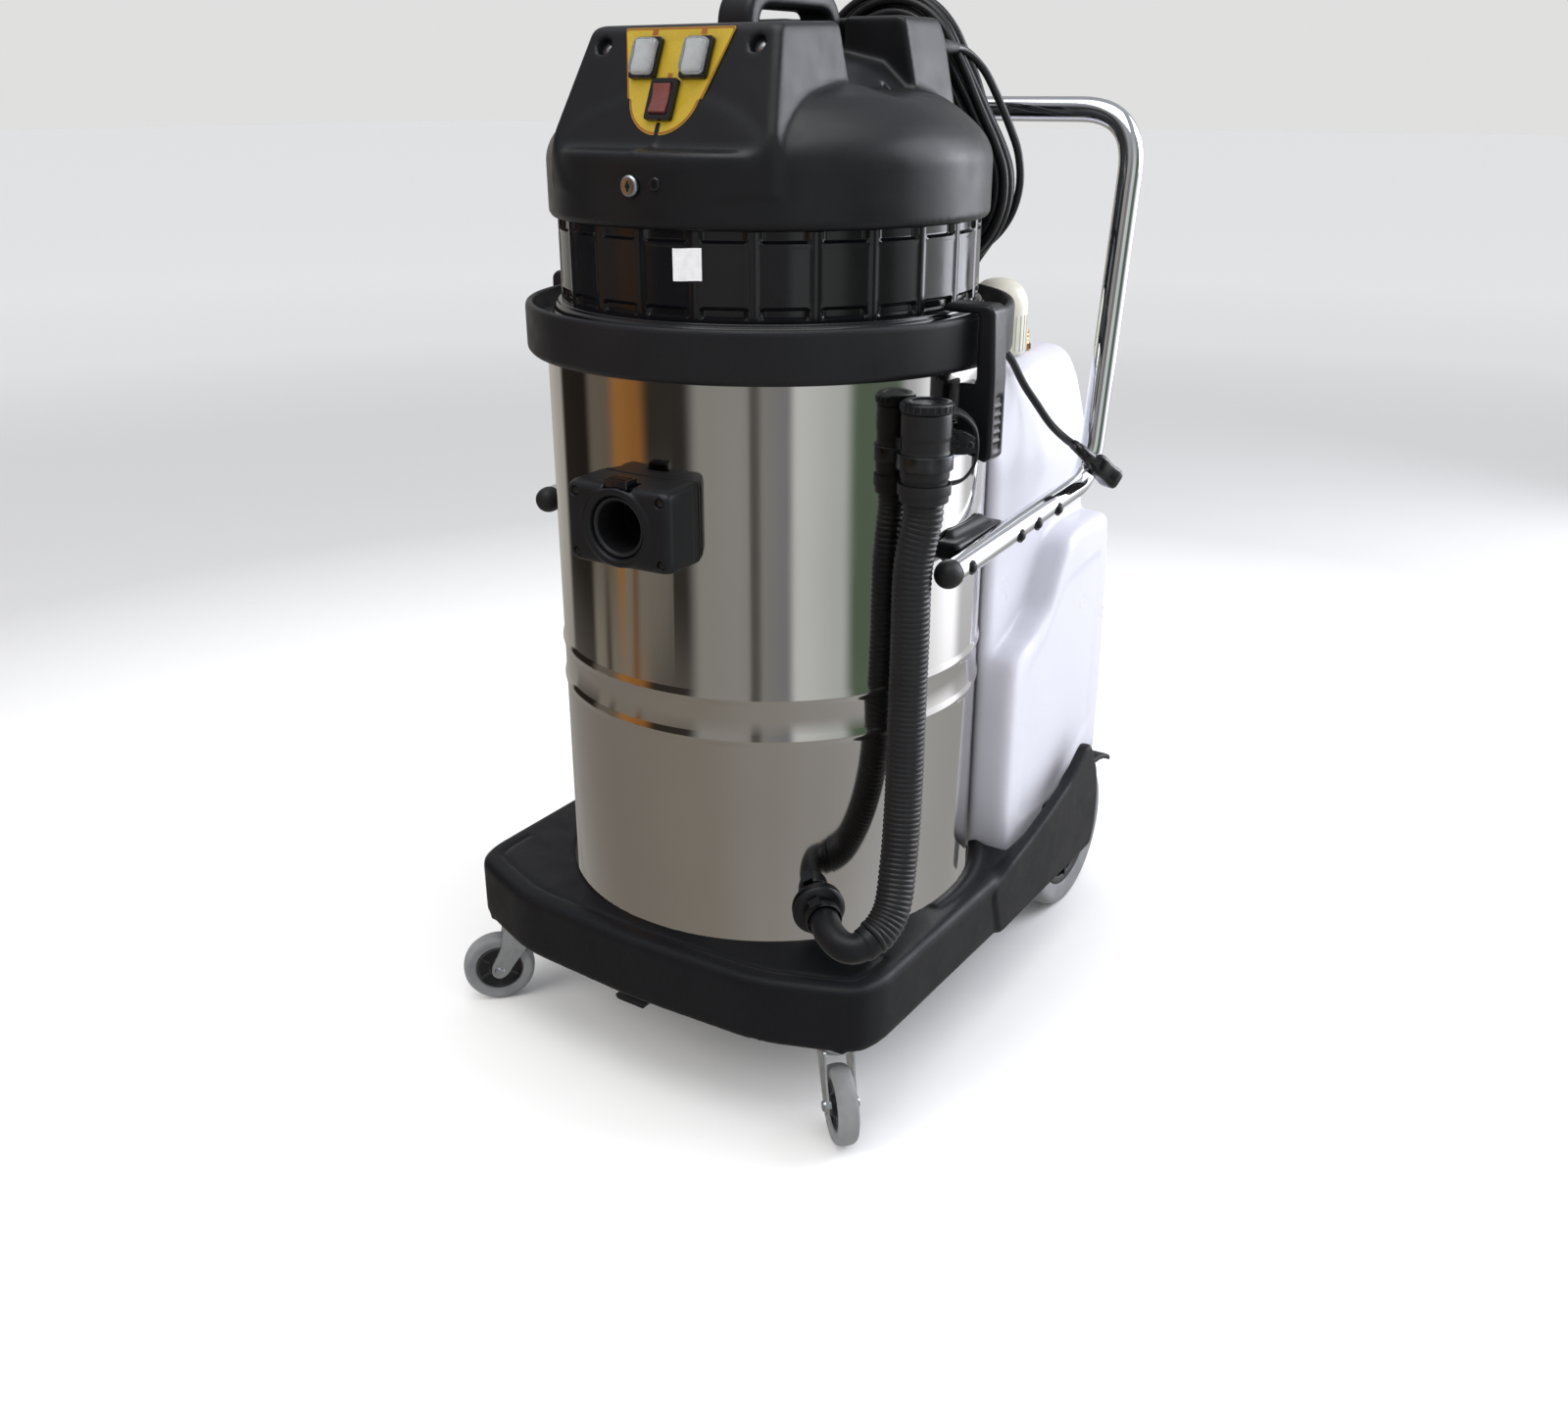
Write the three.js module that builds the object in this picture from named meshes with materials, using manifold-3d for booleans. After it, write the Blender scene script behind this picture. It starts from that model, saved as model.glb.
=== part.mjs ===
// Wet extraction carpet cleaner: wheeled base, steel recovery drum, motor head, solution tank, push handle.
// Millimetres, +Z up, front towards -Y. The drum's axis is the working origin until the last lines.
import * as THREE from 'three';
import { mergeVertices } from 'three/addons/utils/BufferGeometryUtils.js';
import Module from 'manifold-3d';

const wasm = await Module();
wasm.setup();

// ---------- driving dimensions ----------
const DRUM_R = 220;
const DRUM_WALL = 2.5;
const DRUM_BOTTOM = 135;
const DRUM_TOP = 727;
const BEAD_HEIGHTS = [390, 432];
const BEAD_OUT = 1.8;
const ROUND = 32; // facets round the large turned pieces
const GAP = 0.3; // air between pieces that touch

const RIM_R = 239;
const RIM_TOP = 775;
const SEAT_Z = 757; // floor of the rim ring's trough, where the head's gasket lies

const VENT_R = 203.5;
const VENT_BOTTOM = 776;
const VENT_TOP = 851;
const HEAD_R = 211;
const SKIRT_TOP = 908;
const DOME_TOP = 972;
const CONSOLE_TOP = 1014;
const PANEL_LEAN = THREE.MathUtils.degToRad(24.3);

const BASE_BOTTOM = 100;
const BASE_TOP = 174;
const BASE_HALF = 255;
const BASE_WALL = 5;

const WHEEL_R = 95;
const WHEEL_WIDTH = 38;
const WHEEL_X = 208;
const WHEEL_Y = 340;
const CASTER_R = 40;
const CASTER_WIDTH = 22;
const CASTER_TRAIL = 28;
const CASTER_X = 208;
const CASTER_Y = -200;

const ARCH_R = 108; // outside of the arch over each rear wheel
const WELL_X = 184; // inner side of the wheel wells
const PUMP_TOP = 143;

const TUBE_R = 12.5;
const ARM_X = 245;
const ARM_FRONT = [-64, 549]; // y, z of the arm's front end
const ARM_REAR = [212, 570];
const TUBE_BEND = 38;
const BAR_Y = 312;
const BAR_Z = 943;

const TANK_HALF = 231;
const TANK_NECK_HALF = 197;
const TANK_BOTTOM = 151;
const TANK_TOP = 695;
const TANK_FRONT = 125;
const TANK_BACK = 388;
const TANK_WALL = 4;
const CAP_SPOT = [126, 256];
const CAP_R = 32;

const LATCH_Y = -17;
const LATCH_WIDE = 28;
const LATCH_PIVOT = [244, 662]; // x, z

const INLET_TURN = THREE.MathUtils.degToRad(2.8);
const INLET_Z = 602;
const INLET_SIZE = [114, 76];
const INLET_FRONT = 266; // distance of the housing's front face from the drum's axis
const PORT_R = 25;

const CORD_R = 4.2;
const HOSE_R = 18.5;
const CUFF_R = 22.5;

// ---------- materials ----------
const finish = (color, roughness, metalness) => new THREE.MeshStandardMaterial({ color, roughness,
  metalness });
const moulded = finish(0x1d1e22, 0.55, 0);
const glossy = finish(0x121215, 0.25, 0);
const baseBlack = finish(0x22242b, 0.6, 0);
const steel = finish(0xc8c8c6, 0.08, 1);
const chrome = finish(0xd5d8da, 0.08, 1);
const zinc = finish(0x9aa1a5, 0.4, 1);
const brass = finish(0xb07f4a, 0.35, 1);
const rubber = finish(0x17171a, 0.7, 0);
const tread = finish(0x77797b, 0.75, 0);
const tankWhite = finish(0xe9e8ef, 0.4, 0);
const capCream = finish(0xdedccb, 0.45, 0);
const panelYellow = finish(0xa58c1e, 0.4, 0);
const rockerRed = finish(0x6e3c37, 0.35, 0);
const bootClear = finish(0xbfc4c6, 0.2, 0);
const motorGrey = finish(0x6d7074, 0.5, 0.6);
const floatWhite = finish(0xe0ddd0, 0.5, 0);

// ---------- geometry helpers ----------
const PLACES = new THREE.Matrix4();

/** Moves a geometry and gives it back. */
function at(geometry, x = 0, y = 0, z = 0) {
  return geometry.translate(x, y, z);
}

/** Turns a geometry made along Y so that its axis is Z. */
function upright(geometry) {
  return geometry.rotateX(Math.PI / 2);
}

/** A closed, outward facing, shared-vertex copy with positions only. */
function closed(source) {
  const geometry = source.clone();
  for (const key of Object.keys(geometry.attributes)) {
    if (key !== 'position') geometry.deleteAttribute(key);
  }
  const merged = mergeVertices(geometry, 1e-3);
  const p = merged.attributes.position.array;
  const index = merged.index.array;
  const kept = [];
  let volume = 0;
  for (let i = 0; i < index.length; i += 3) {
    const [a, b, c] = [index[i], index[i + 1], index[i + 2]];
    if (a === b || b === c || c === a) continue;
    kept.push(a, b, c);
    const [ax, ay, az] = p.slice(3 * a, 3 * a + 3);
    const [bx, by, bz] = p.slice(3 * b, 3 * b + 3);
    const [cx, cy, cz] = p.slice(3 * c, 3 * c + 3);
    volume += ax * (by * cz - bz * cy) + ay * (bz * cx - bx * cz) + az * (bx * cy - by * cx);
  }
  if (volume < 0) kept.reverse();
  merged.setIndex(kept);
  return merged;
}

/** A manifold solid from a closed geometry. */
function solid(geometry) {
  const g = closed(geometry);
  const vertProperties = new Float32Array(g.attributes.position.array);
  const triVerts = new Uint32Array(g.index.array);
  return new wasm.Manifold(new wasm.Mesh({ numProp: 3, vertProperties, triVerts }));
}

/** A geometry from a manifold solid. */
function geometryOf(manifold) {
  const mesh = manifold.getMesh();
  const geometry = new THREE.BufferGeometry();
  geometry.setAttribute('position', new THREE.BufferAttribute(new Float32Array(mesh.vertProperties), 3));
  geometry.setIndex(new THREE.BufferAttribute(new Uint32Array(mesh.triVerts), 1));
  return geometry;
}

const join = (first, ...rest) => rest.reduce((sum, g) => sum.add(solid(g)),
  first.add ? first : solid(first));
const cut = (first, ...rest) => rest.reduce((left, g) => left.subtract(solid(g)),
  first.add ? first : solid(first));

/** A turned piece: [radius, height] points, closed on themselves or from axis to axis. */
function turned(profile, segments = ROUND) {
  const points = profile.map(([r, z]) => new THREE.Vector2(r, z));
  const onAxis = profile[0][0] === 0 && profile[profile.length - 1][0] === 0;
  if (!onAxis) points.push(points[0].clone());
  return upright(new THREE.LatheGeometry(points, segments));
}

/** A plain cylinder along Z from z0 to z1. */
function rod(radius, z0, z1, segments = 16) {
  return turned([[0, z0], [radius, z0], [radius, z1], [0, z1]], segments);
}

/** A plain ring along Z. */
function ring(inner, outer, z0, z1, segments = ROUND) {
  return turned([[inner, z0], [outer, z0], [outer, z1], [inner, z1]], segments);
}

/** A cylinder whose axis runs along X. */
function rodX(radius, x0, x1, y, z, segments = 16) {
  return at(rod(radius, x0, x1, segments).rotateY(Math.PI / 2), 0, y, z);
}

/** A box from its lowest and highest corners. */
function block(x0, y0, z0, x1, y1, z1) {
  return at(new THREE.BoxGeometry(x1 - x0, y1 - y0, z1 - z0), (x0 + x1) / 2, (y0 + y1) / 2, (z0 + z1) / 2);
}

/** An outline from [u, v] points. */
const outline = (points) => new THREE.Shape(points.map(([u, v]) => new THREE.Vector2(u, v)));

/** An outline in the XY plane, extruded upwards. */
function slab(shape, z0, z1, options = {}) {
  const settings = { depth: z1 - z0, bevelEnabled: false, curveSegments: 6, ...options };
  return at(new THREE.ExtrudeGeometry(shape, settings), 0, 0, z0);
}

/** An outline of [y, z] points, extruded along X. */
function alongX(shape, x0, x1, options = {}) {
  const settings = { depth: x1 - x0, bevelEnabled: false, curveSegments: 8, ...options };
  PLACES.makeBasis(new THREE.Vector3(0, 1, 0), new THREE.Vector3(0, 0, 1), new THREE.Vector3(1, 0, 0));
  return at(new THREE.ExtrudeGeometry(shape, settings).applyMatrix4(PLACES), x0, 0, 0);
}

/** An outline of [x, z] points, extruded along Y. */
function alongY(shape, y0, y1, options = {}) {
  const settings = { depth: y1 - y0, bevelEnabled: false, curveSegments: 8, ...options };
  PLACES.makeBasis(new THREE.Vector3(1, 0, 0), new THREE.Vector3(0, 0, 1), new THREE.Vector3(0, -1, 0));
  return at(new THREE.ExtrudeGeometry(shape, settings).applyMatrix4(PLACES), 0, y1, 0);
}

/** A rectangle with round corners, centred. */
function roundedRectangle(width, height, radius) {
  const [w, h] = [width / 2, height / 2];
  const shape = new THREE.Shape();
  shape.moveTo(-w + radius, -h);
  shape.lineTo(w - radius, -h);
  shape.absarc(w - radius, -h + radius, radius, -Math.PI / 2, 0);
  shape.lineTo(w, h - radius);
  shape.absarc(w - radius, h - radius, radius, 0, Math.PI / 2);
  shape.lineTo(-w + radius, h);
  shape.absarc(-w + radius, h - radius, radius, Math.PI / 2, Math.PI);
  shape.lineTo(-w, -h + radius);
  shape.absarc(-w + radius, -h + radius, radius, Math.PI, Math.PI * 1.5);
  return shape;
}

/** A round bar that follows a curve. */
function barAlong(curve, radius, sides, steps) {
  const points = [];
  for (let i = 0; i < sides; i += 1) {
    const angle = ((i + 0.5) / sides) * Math.PI * 2;
    points.push([radius * Math.cos(angle), radius * Math.sin(angle)]);
  }
  return new THREE.ExtrudeGeometry(outline(points), { steps, extrudePath: curve, bevelEnabled: false });
}

/** The sphere of a ball cap or float. */
function ball(radius, x, y, z, segments = 16) {
  return at(new THREE.SphereGeometry(radius, segments, segments / 2), x, y, z);
}

const smooth = (points) => new THREE.CatmullRomCurve3(points.map((p) => new THREE.Vector3(...p)), false,
  'centripetal');

const machine = new THREE.Group();

/** Adds a named mesh to the machine. */
function piece(name, shape, material, parent = machine) {
  const geometry = closed(shape.add ? geometryOf(shape) : shape);
  geometry.computeVertexNormals();
  const mesh = new THREE.Mesh(geometry, material.clone());
  mesh.name = name;
  parent.add(mesh);
  return mesh;
}

/** Runs a maker for the left (-X) and the right (+X) side. */
function bothSides(make) {
  make(-1, 'left');
  make(1, 'right');
}

// ---------- wheeled base ----------
/** A box between two distances from the middle plane, on one side. */
function sideBlock(side, x0, y0, z0, x1, y1, z1) {
  return block(Math.min(side * x0, side * x1), y0, z0, Math.max(side * x0, side * x1), y1, z1);
}
/** A cylinder about the rear axle, between two distances from the middle plane. */
function wheelWell(side, radius, x0, x1) {
  return rodX(radius, Math.min(side * x0, side * x1), Math.max(side * x0, side * x1), WHEEL_Y, WHEEL_R, 28);
}

/** The base's plan; shrink draws its inner line. */
function basePlan(shrink) {
  const s = new THREE.Shape();
  const side = BASE_HALF - shrink;
  const corner = 34;
  s.moveTo(0, -264 + shrink);
  s.quadraticCurveTo(150, -258 + shrink, side - corner, -229 + shrink);
  s.quadraticCurveTo(side - 4, -222 + shrink, side, -188);
  s.lineTo(side + 4, 60);
  s.lineTo(side, 234 - shrink);
  s.lineTo(WELL_X - shrink, 234 - shrink);
  s.lineTo(WELL_X - shrink, 376 - shrink);
  s.lineTo(-WELL_X + shrink, 376 - shrink);
  s.lineTo(-WELL_X + shrink, 234 - shrink);
  s.lineTo(-side, 234 - shrink);
  s.lineTo(-side - 4, 60);
  s.lineTo(-side, -188);
  s.quadraticCurveTo(-side + 4, -222 + shrink, -side + corner, -229 + shrink);
  s.quadraticCurveTo(-150, -258 + shrink, 0, -264 + shrink);
  return s;
}

const bevelled = { bevelEnabled: true, bevelThickness: 9, bevelSize: 9, bevelSegments: 2, bevelOffset: -9,
  curveSegments: 5 };
let base = solid(slab(basePlan(0), BASE_BOTTOM - 9, BASE_TOP - 9,
  { ...bevelled, depth: BASE_TOP - BASE_BOTTOM }));
base = cut(base, block(-400, -400, 0, 400, 500, BASE_BOTTOM));
base = cut(base, slab(basePlan(BASE_WALL), BASE_BOTTOM - 5, DRUM_BOTTOM - 6));
const FAIRING = [[40, 160], [80, 178], [133, 188], [185, 200], [239, 216], [284, 244], [294, 244],
  [318, 205], [327, 165], [326, 125], [316, BASE_BOTTOM], [60, BASE_BOTTOM]];
for (const side of [-1, 1]) {
  const [near, far] = side < 0 ? [-262, -248] : [248, 262];
  base = join(base, alongX(outline(FAIRING), near, far));
  base = base.add(cut(wheelWell(side, ARCH_R, WELL_X - 1, 250),
    block(-400, WHEEL_Y + 60, -50, 400, 600, 400),
    block(-400, 0, -50, 400, 600, 118)));
  base = join(base, sideBlock(side, 120, 318, 78, WELL_X - 1, 362, 150));
  base = join(base, sideBlock(side, CASTER_X - 24, CASTER_Y - 24, BASE_BOTTOM, CASTER_X + 24,
    CASTER_Y + 24, 140));
}
for (const side of [-1, 1]) {
  base = cut(base, wheelWell(side, ARCH_R - 6, WELL_X + 3, 249),
    at(rod(6, 90, 124, 12), side * CASTER_X, CASTER_Y, 0));
}
base = cut(base, rodX(8.6, -300, 300, WHEEL_Y, WHEEL_R, 12));
base = cut(base, rod(DRUM_R + 2.5, DRUM_BOTTOM - GAP, 400, ROUND));
base = cut(base, block(-WELL_X, 100, TANK_BOTTOM - GAP, WELL_X, 371, 400),
  block(-236, 118, TANK_BOTTOM - GAP, 236, 236, 400));
base = cut(base, block(-74, 274, 90, 82, 326, PUMP_TOP + GAP));
piece('base_tray', base, baseBlack);

// ---------- recovery drum ----------
function drumProfile() {
  const points = [[0, DRUM_BOTTOM], [DRUM_R - 8, DRUM_BOTTOM], [DRUM_R, DRUM_BOTTOM + 8]];
  for (const z of BEAD_HEIGHTS) {
    points.push([DRUM_R, z - 6], [DRUM_R + BEAD_OUT, z], [DRUM_R, z + 6]);
  }
  const inner = DRUM_R - DRUM_WALL;
  points.push([DRUM_R, DRUM_TOP], [inner, DRUM_TOP], [inner, DRUM_BOTTOM + 10],
    [inner - 8, DRUM_BOTTOM + 3]);
  points.push([0, DRUM_BOTTOM + 3]);
  return points;
}
const INLET_AXIS = new THREE.Matrix4().makeRotationZ(INLET_TURN);
const portRod = (radius, from, to, segments = 20) => {
  const g = rod(radius, from, to, segments).rotateX(Math.PI / 2);
  return at(g, 0, 0, INLET_Z).applyMatrix4(INLET_AXIS);
};
const OUTLET_ANGLE = THREE.MathUtils.degToRad(46 - 90);
const OUTLET_Z = 205;
const outward = (distance, z) => [distance * Math.cos(OUTLET_ANGLE), distance * Math.sin(OUTLET_ANGLE), z];
function outletRod(radius, from, to, segments = 16) {
  const g = rod(radius, from, to, segments).rotateY(Math.PI / 2).rotateZ(OUTLET_ANGLE);
  return at(g, 0, 0, OUTLET_Z);
}
piece('drum', cut(turned(drumProfile()), portRod(PORT_R + 1, 180, 240), outletRod(16, 190, 240)), steel);

// ---------- rim ring ----------
piece('rim_ring', turned([
  [213, DRUM_TOP - 34], [DRUM_R - DRUM_WALL - GAP, DRUM_TOP - 34], [DRUM_R - DRUM_WALL - GAP,
    DRUM_TOP + GAP],
  [RIM_R - 3, DRUM_TOP + GAP], [RIM_R, DRUM_TOP + 4], [RIM_R, RIM_TOP - 3], [RIM_R - 2, RIM_TOP],
  [RIM_R - 7, RIM_TOP], [RIM_R - 11, SEAT_Z], [199, SEAT_Z], [199, SEAT_Z - 5], [213, SEAT_Z - 9],
]), moulded);

// ---------- hose inlet ----------
const [inletWide, inletHigh] = INLET_SIZE;
const housingBlock = at(
  new THREE.ExtrudeGeometry(roundedRectangle(inletWide - 8, inletHigh - 8, 9), {
    depth: INLET_FRONT - 196, bevelEnabled: true, bevelThickness: 5, bevelSize: 4, bevelSegments: 1, curveSegments: 3,
  }).rotateX(Math.PI / 2), 0, -191, INLET_Z).applyMatrix4(INLET_AXIS);
const drumTool = (extra) => rod(DRUM_R + extra, 0, 1200, ROUND);
piece('inlet_housing', cut(housingBlock, drumTool(GAP), portRod(PORT_R + 3.5, 200, 300),
  block(-3, -264, INLET_Z + 32, 25, -244, INLET_Z + 60)), moulded);
piece('inlet_seal', cut(portRod(PORT_R + 3.2, DRUM_R + 1.5, INLET_FRONT - 3),
  portRod(PORT_R - 1.5, 200, 300)), rubber);
piece('inlet_button', block(-2, -263, INLET_Z + 35.4, 24, -246, INLET_Z + 43), glossy);

// ---------- drain elbow, clamp, hose ----------
const HOSE_END = new THREE.Vector3(228, -168, 201.5);
const HOSE_HEADING = new THREE.Vector3(0.36, 0.82, 0.44).normalize();
const alongHose = (distance) => HOSE_END.clone().addScaledVector(HOSE_HEADING, distance).toArray();
const elbowPath = smooth([outward(219, OUTLET_Z), outward(246, OUTLET_Z), outward(262, 203),
  [207, -189, 198],
  [218, -185, 196], alongHose(-8), alongHose(0)]);
const elbowPlate = outletRod(27, 214, 226, 20);
const elbow = cut(join(cut(elbowPlate, drumTool(GAP)), barAlong(elbowPath, 15, 10, 10)), drumTool(-1.5));
const HOSE_ROUTE = [alongHose(1), alongHose(10), [235, -143, 222], [231, -124, 262], [226, -109, 320],
  [223, -102, 402],
  [222, -99, 485], [222, -97.5, 560], [227.5, -92.5, 606], [227.5, -92.5, 619.4]];
const hosePath = smooth(HOSE_ROUTE);
piece('drain_elbow', elbow, moulded);
piece('hose_clamp', cut(outletRod(19, 233, 244, 16), outletRod(16.6, 200, 270, 16)), chrome);
piece('drain_hose', barAlong(hosePath, HOSE_R, 10, 16), rubber);

const CUFF_SPOT = [227.5, -92.5];
const CUFF_ANGLE = Math.atan2(CUFF_SPOT[0], -CUFF_SPOT[1]);
const CUFF_BOTTOM = 620;
const CUFF_TOP = 700;
const cuffRod = (radius, z0, z1, segments = 16) => at(rod(radius, z0, z1, segments), ...CUFF_SPOT, 0);
piece('hose_cuff', cut(cuffRod(CUFF_R, CUFF_BOTTOM, CUFF_TOP),
  cuffRod(CUFF_R - 5, CUFF_BOTTOM + 8, CUFF_TOP + 9)), rubber);
piece('drain_cap', join(cuffRod(CUFF_R - 5.6, CUFF_BOTTOM + 50, CUFF_TOP + GAP),
  cuffRod(CUFF_R + 1, CUFF_TOP + GAP, CUFF_TOP + 10)), moulded);
const strapPath = smooth([[236, -66, 694], [246, -56, 691], [252, -46, 670], [252, -45, 650],
  [246, -54, 635], [237, -66, 633]]);
piece('cap_strap', barAlong(strapPath, 3, 6, 10), rubber);
piece('hose_hook', cut(
  join(at(ring(CUFF_R + 0.5, CUFF_R + 3, 650, 664, 16), ...CUFF_SPOT, 0),
    block(-12, -226, 642, 12, -196, 676).rotateZ(CUFF_ANGLE)),
  drumTool(GAP), cuffRod(CUFF_R + 0.4, 600, 720), block(-9, -300, 600, 9, -245.6,
    720).rotateZ(CUFF_ANGLE)), zinc);

// ---------- push handle ----------
function handlePath() {
  const path = new THREE.CurvePath();
  const half = (side) => {
    const lean = Math.atan2(BAR_Y - 252, BAR_Z - 620);
    const x = side * ARM_X;
    const rise = (ARM_REAR[1] - ARM_FRONT[1]) / (ARM_REAR[0] - ARM_FRONT[0]);
    const corner = [252, ARM_FRONT[1] + rise * (252 - ARM_FRONT[0])];
    const up = [x, corner[0] + TUBE_BEND * Math.sin(lean), corner[1] + TUBE_BEND * Math.cos(lean)];
    const before = [x, corner[0] - TUBE_BEND, corner[1] - rise * TUBE_BEND];
    const shoulder = 62;
    const topCorner = [x, BAR_Y, BAR_Z];
    const below = [x, BAR_Y - shoulder * Math.sin(lean), BAR_Z - shoulder * Math.cos(lean)];
    const inside = [side * (ARM_X - shoulder), BAR_Y, BAR_Z];
    return [[x, ...ARM_FRONT], before, [x, ...corner], up, below, topCorner, inside];
  };
  const v = (p) => new THREE.Vector3(...p);
  const [a, b, c, d, e, f, g] = half(-1).map(v);
  const [a2, b2, c2, d2, e2, f2, g2] = half(1).map(v);
  path.add(new THREE.LineCurve3(a, b));
  path.add(new THREE.QuadraticBezierCurve3(b, c, d));
  path.add(new THREE.LineCurve3(d, e));
  path.add(new THREE.QuadraticBezierCurve3(e, f, g));
  path.add(new THREE.LineCurve3(g, g2));
  path.add(new THREE.QuadraticBezierCurve3(g2, f2, e2));
  path.add(new THREE.LineCurve3(e2, d2));
  path.add(new THREE.QuadraticBezierCurve3(d2, c2, b2));
  path.add(new THREE.LineCurve3(b2, a2));
  return path;
}
piece('tube_handle', barAlong(handlePath(), TUBE_R, 10, 42), chrome);

bothSides((side, word) => {
  const x = side * ARM_X;
  const cap = cut(ball(13.8, x, ARM_FRONT[0] - 7, ARM_FRONT[1] - 0.5, 14),
    block(x - 30, ARM_FRONT[0] - 1.5, 500, x + 30, 0, 600));
  piece(`end_cap_${word}`, cap, rubber);
  const [inner, outer] = side < 0 ? [-(ARM_X - 5), -190] : [190, ARM_X - 5];
  const saddle = block(inner, -44, 551, outer, 62, 569);
  const armTool = barAlong(new THREE.LineCurve3(new THREE.Vector3(x, ...ARM_FRONT),
    new THREE.Vector3(x, ...ARM_REAR)), TUBE_R + 0.5, 12, 1);
  piece(`handle_bracket_${word}`, cut(saddle, drumTool(GAP), armTool), moulded);
});

// ---------- solution tank ----------
function tankBody(shrink) {
  const h = TANK_NECK_HALF - shrink;
  const top = TANK_TOP - shrink;
  const bottom = TANK_BOTTOM + shrink;
  const shoulders = [[-h, bottom], [h, bottom], [h, 598], [181 - shrink, 661], [168 - shrink, 686],
    [152 - shrink, top],
    [-152 + shrink, top], [-168 + shrink, 686], [-181 + shrink, 661], [-h, 598]];
  const upper = alongY(outline(shoulders), TANK_FRONT + shrink, TANK_BACK - 18 - shrink);
  const back = TANK_BACK - shrink;
  const sideLine = [[TANK_FRONT + shrink, bottom], [TANK_FRONT + shrink, 386 - shrink],
    [150, 400 - shrink], [176, 408 - shrink],
    [212, 430 - shrink], [234, 470 - shrink], [252, 499 - shrink], [290, 508 - shrink], [back - 18,
      508 - shrink],
    [back - 8, 440], [back, 300], [back, bottom]];
  const wide = TANK_HALF - shrink;
  let body = join(alongX(outline(sideLine), -wide, wide), upper);
  const lift = 0.6 + shrink;
  for (const side of [-1, 1]) {
    const well = wheelWell(side, ARCH_R + lift, WELL_X - 1 - lift, 300);
    const rearWell = sideBlock(side, WELL_X - 1 - lift, 234 - lift, 0, 400, 600, 176);
    body = cut(body, well, rearWell);
  }
  body = cut(body, rod(DRUM_R + 4 + shrink, 0, 1200, ROUND),
    block(-300, 371 - shrink, 0, 300, 500, TANK_BOTTOM + 26 + shrink));
  return body;
}
const capRod = (radius, z0, z1, segments = 18) => at(rod(radius, z0, z1, segments), ...CAP_SPOT, 0);
let tank = join(tankBody(0), capRod(CAP_R - 7, TANK_TOP - 8, TANK_TOP + 22));
tank = cut(tank.subtract(tankBody(TANK_WALL)), capRod(CAP_R - 11, TANK_TOP - 30, TANK_TOP + 40));
piece('solution_tank', tank, tankWhite);
const capShell = at(turned([[0, TANK_TOP + 22.6], [CAP_R - 6.4, TANK_TOP + 22.6],
  [CAP_R - 6.4, TANK_TOP + 1], [CAP_R, TANK_TOP + 1], [CAP_R, TANK_TOP + 56], [CAP_R - 5, TANK_TOP + 68],
  [CAP_R - 14, TANK_TOP + 77], [0, TANK_TOP + 80]], 18), ...CAP_SPOT, 0);
piece('filler_cap', capShell, capCream);
piece('brass_fitting', at(turned([[0, TANK_TOP + GAP], [8, TANK_TOP + GAP], [8, TANK_TOP + 8], [5.5,
  TANK_TOP + 9],
  [6.5, TANK_TOP + 18], [4.5, TANK_TOP + 22], [0, TANK_TOP + 22]], 12), 140, 296, 0), brass);
piece('pump', join(rodX(20, -70, 41, 300, PUMP_TOP - 20.5, 16), block(40, 278, 105, 78, 322, PUMP_TOP)),
  motorGrey);

// ---------- rear wheels ----------
const WHEEL_FACETS = 24;
const flatR = (radius, facets) => radius / Math.cos(Math.PI / facets);
function wheelPiece(profile, facets, x) {
  const geometry = turned(profile, facets).rotateZ(Math.PI / 2 + Math.PI / facets);
  return geometry.rotateY(Math.PI / 2).translate(x, 0, 0);
}
function tyreProfile(radius, inner, width) {
  const w = width / 2;
  const r = flatR(radius, WHEEL_FACETS);
  return [[inner, -w + 3], [r - 9, -w], [r, -w + 9], [r, w - 9], [r - 9, w], [inner, w - 3]];
}
piece('rear_axle', rodX(8, -234, 234, WHEEL_Y, WHEEL_R, 12), zinc);
bothSides((side, word) => {
  const wheel = new THREE.Group();
  wheel.position.set(side * WHEEL_X, WHEEL_Y, WHEEL_R);
  machine.add(wheel);
  const w = WHEEL_WIDTH / 2;
  piece(`rear_tyre_${word}`, wheelPiece(tyreProfile(WHEEL_R, 68, WHEEL_WIDTH), WHEEL_FACETS, 0), tread,
    wheel);
  const hubProfile = [[9, -w - 1], [22, -w - 1], [28, -5], [58, -5], [67.5, -w + 3], [67.5, w - 3],
    [58, 5], [28, 5],
    [22, w + 1], [9, w + 1]];
  piece(`rear_hub_${word}`, wheelPiece(hubProfile, WHEEL_FACETS, 0), moulded, wheel);
  const face = w + 1.4;
  const capProfile = [[8.5, face], [15, face], [15, face + 5], [11, face + 9], [0, face + 10.5],
    [0, face + 7], [8.5, face + 7]];
  const cap = turned(capProfile, 12).rotateY(side * Math.PI / 2);
  piece(`axle_cap_${word}`, cap, moulded, wheel);
});

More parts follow.
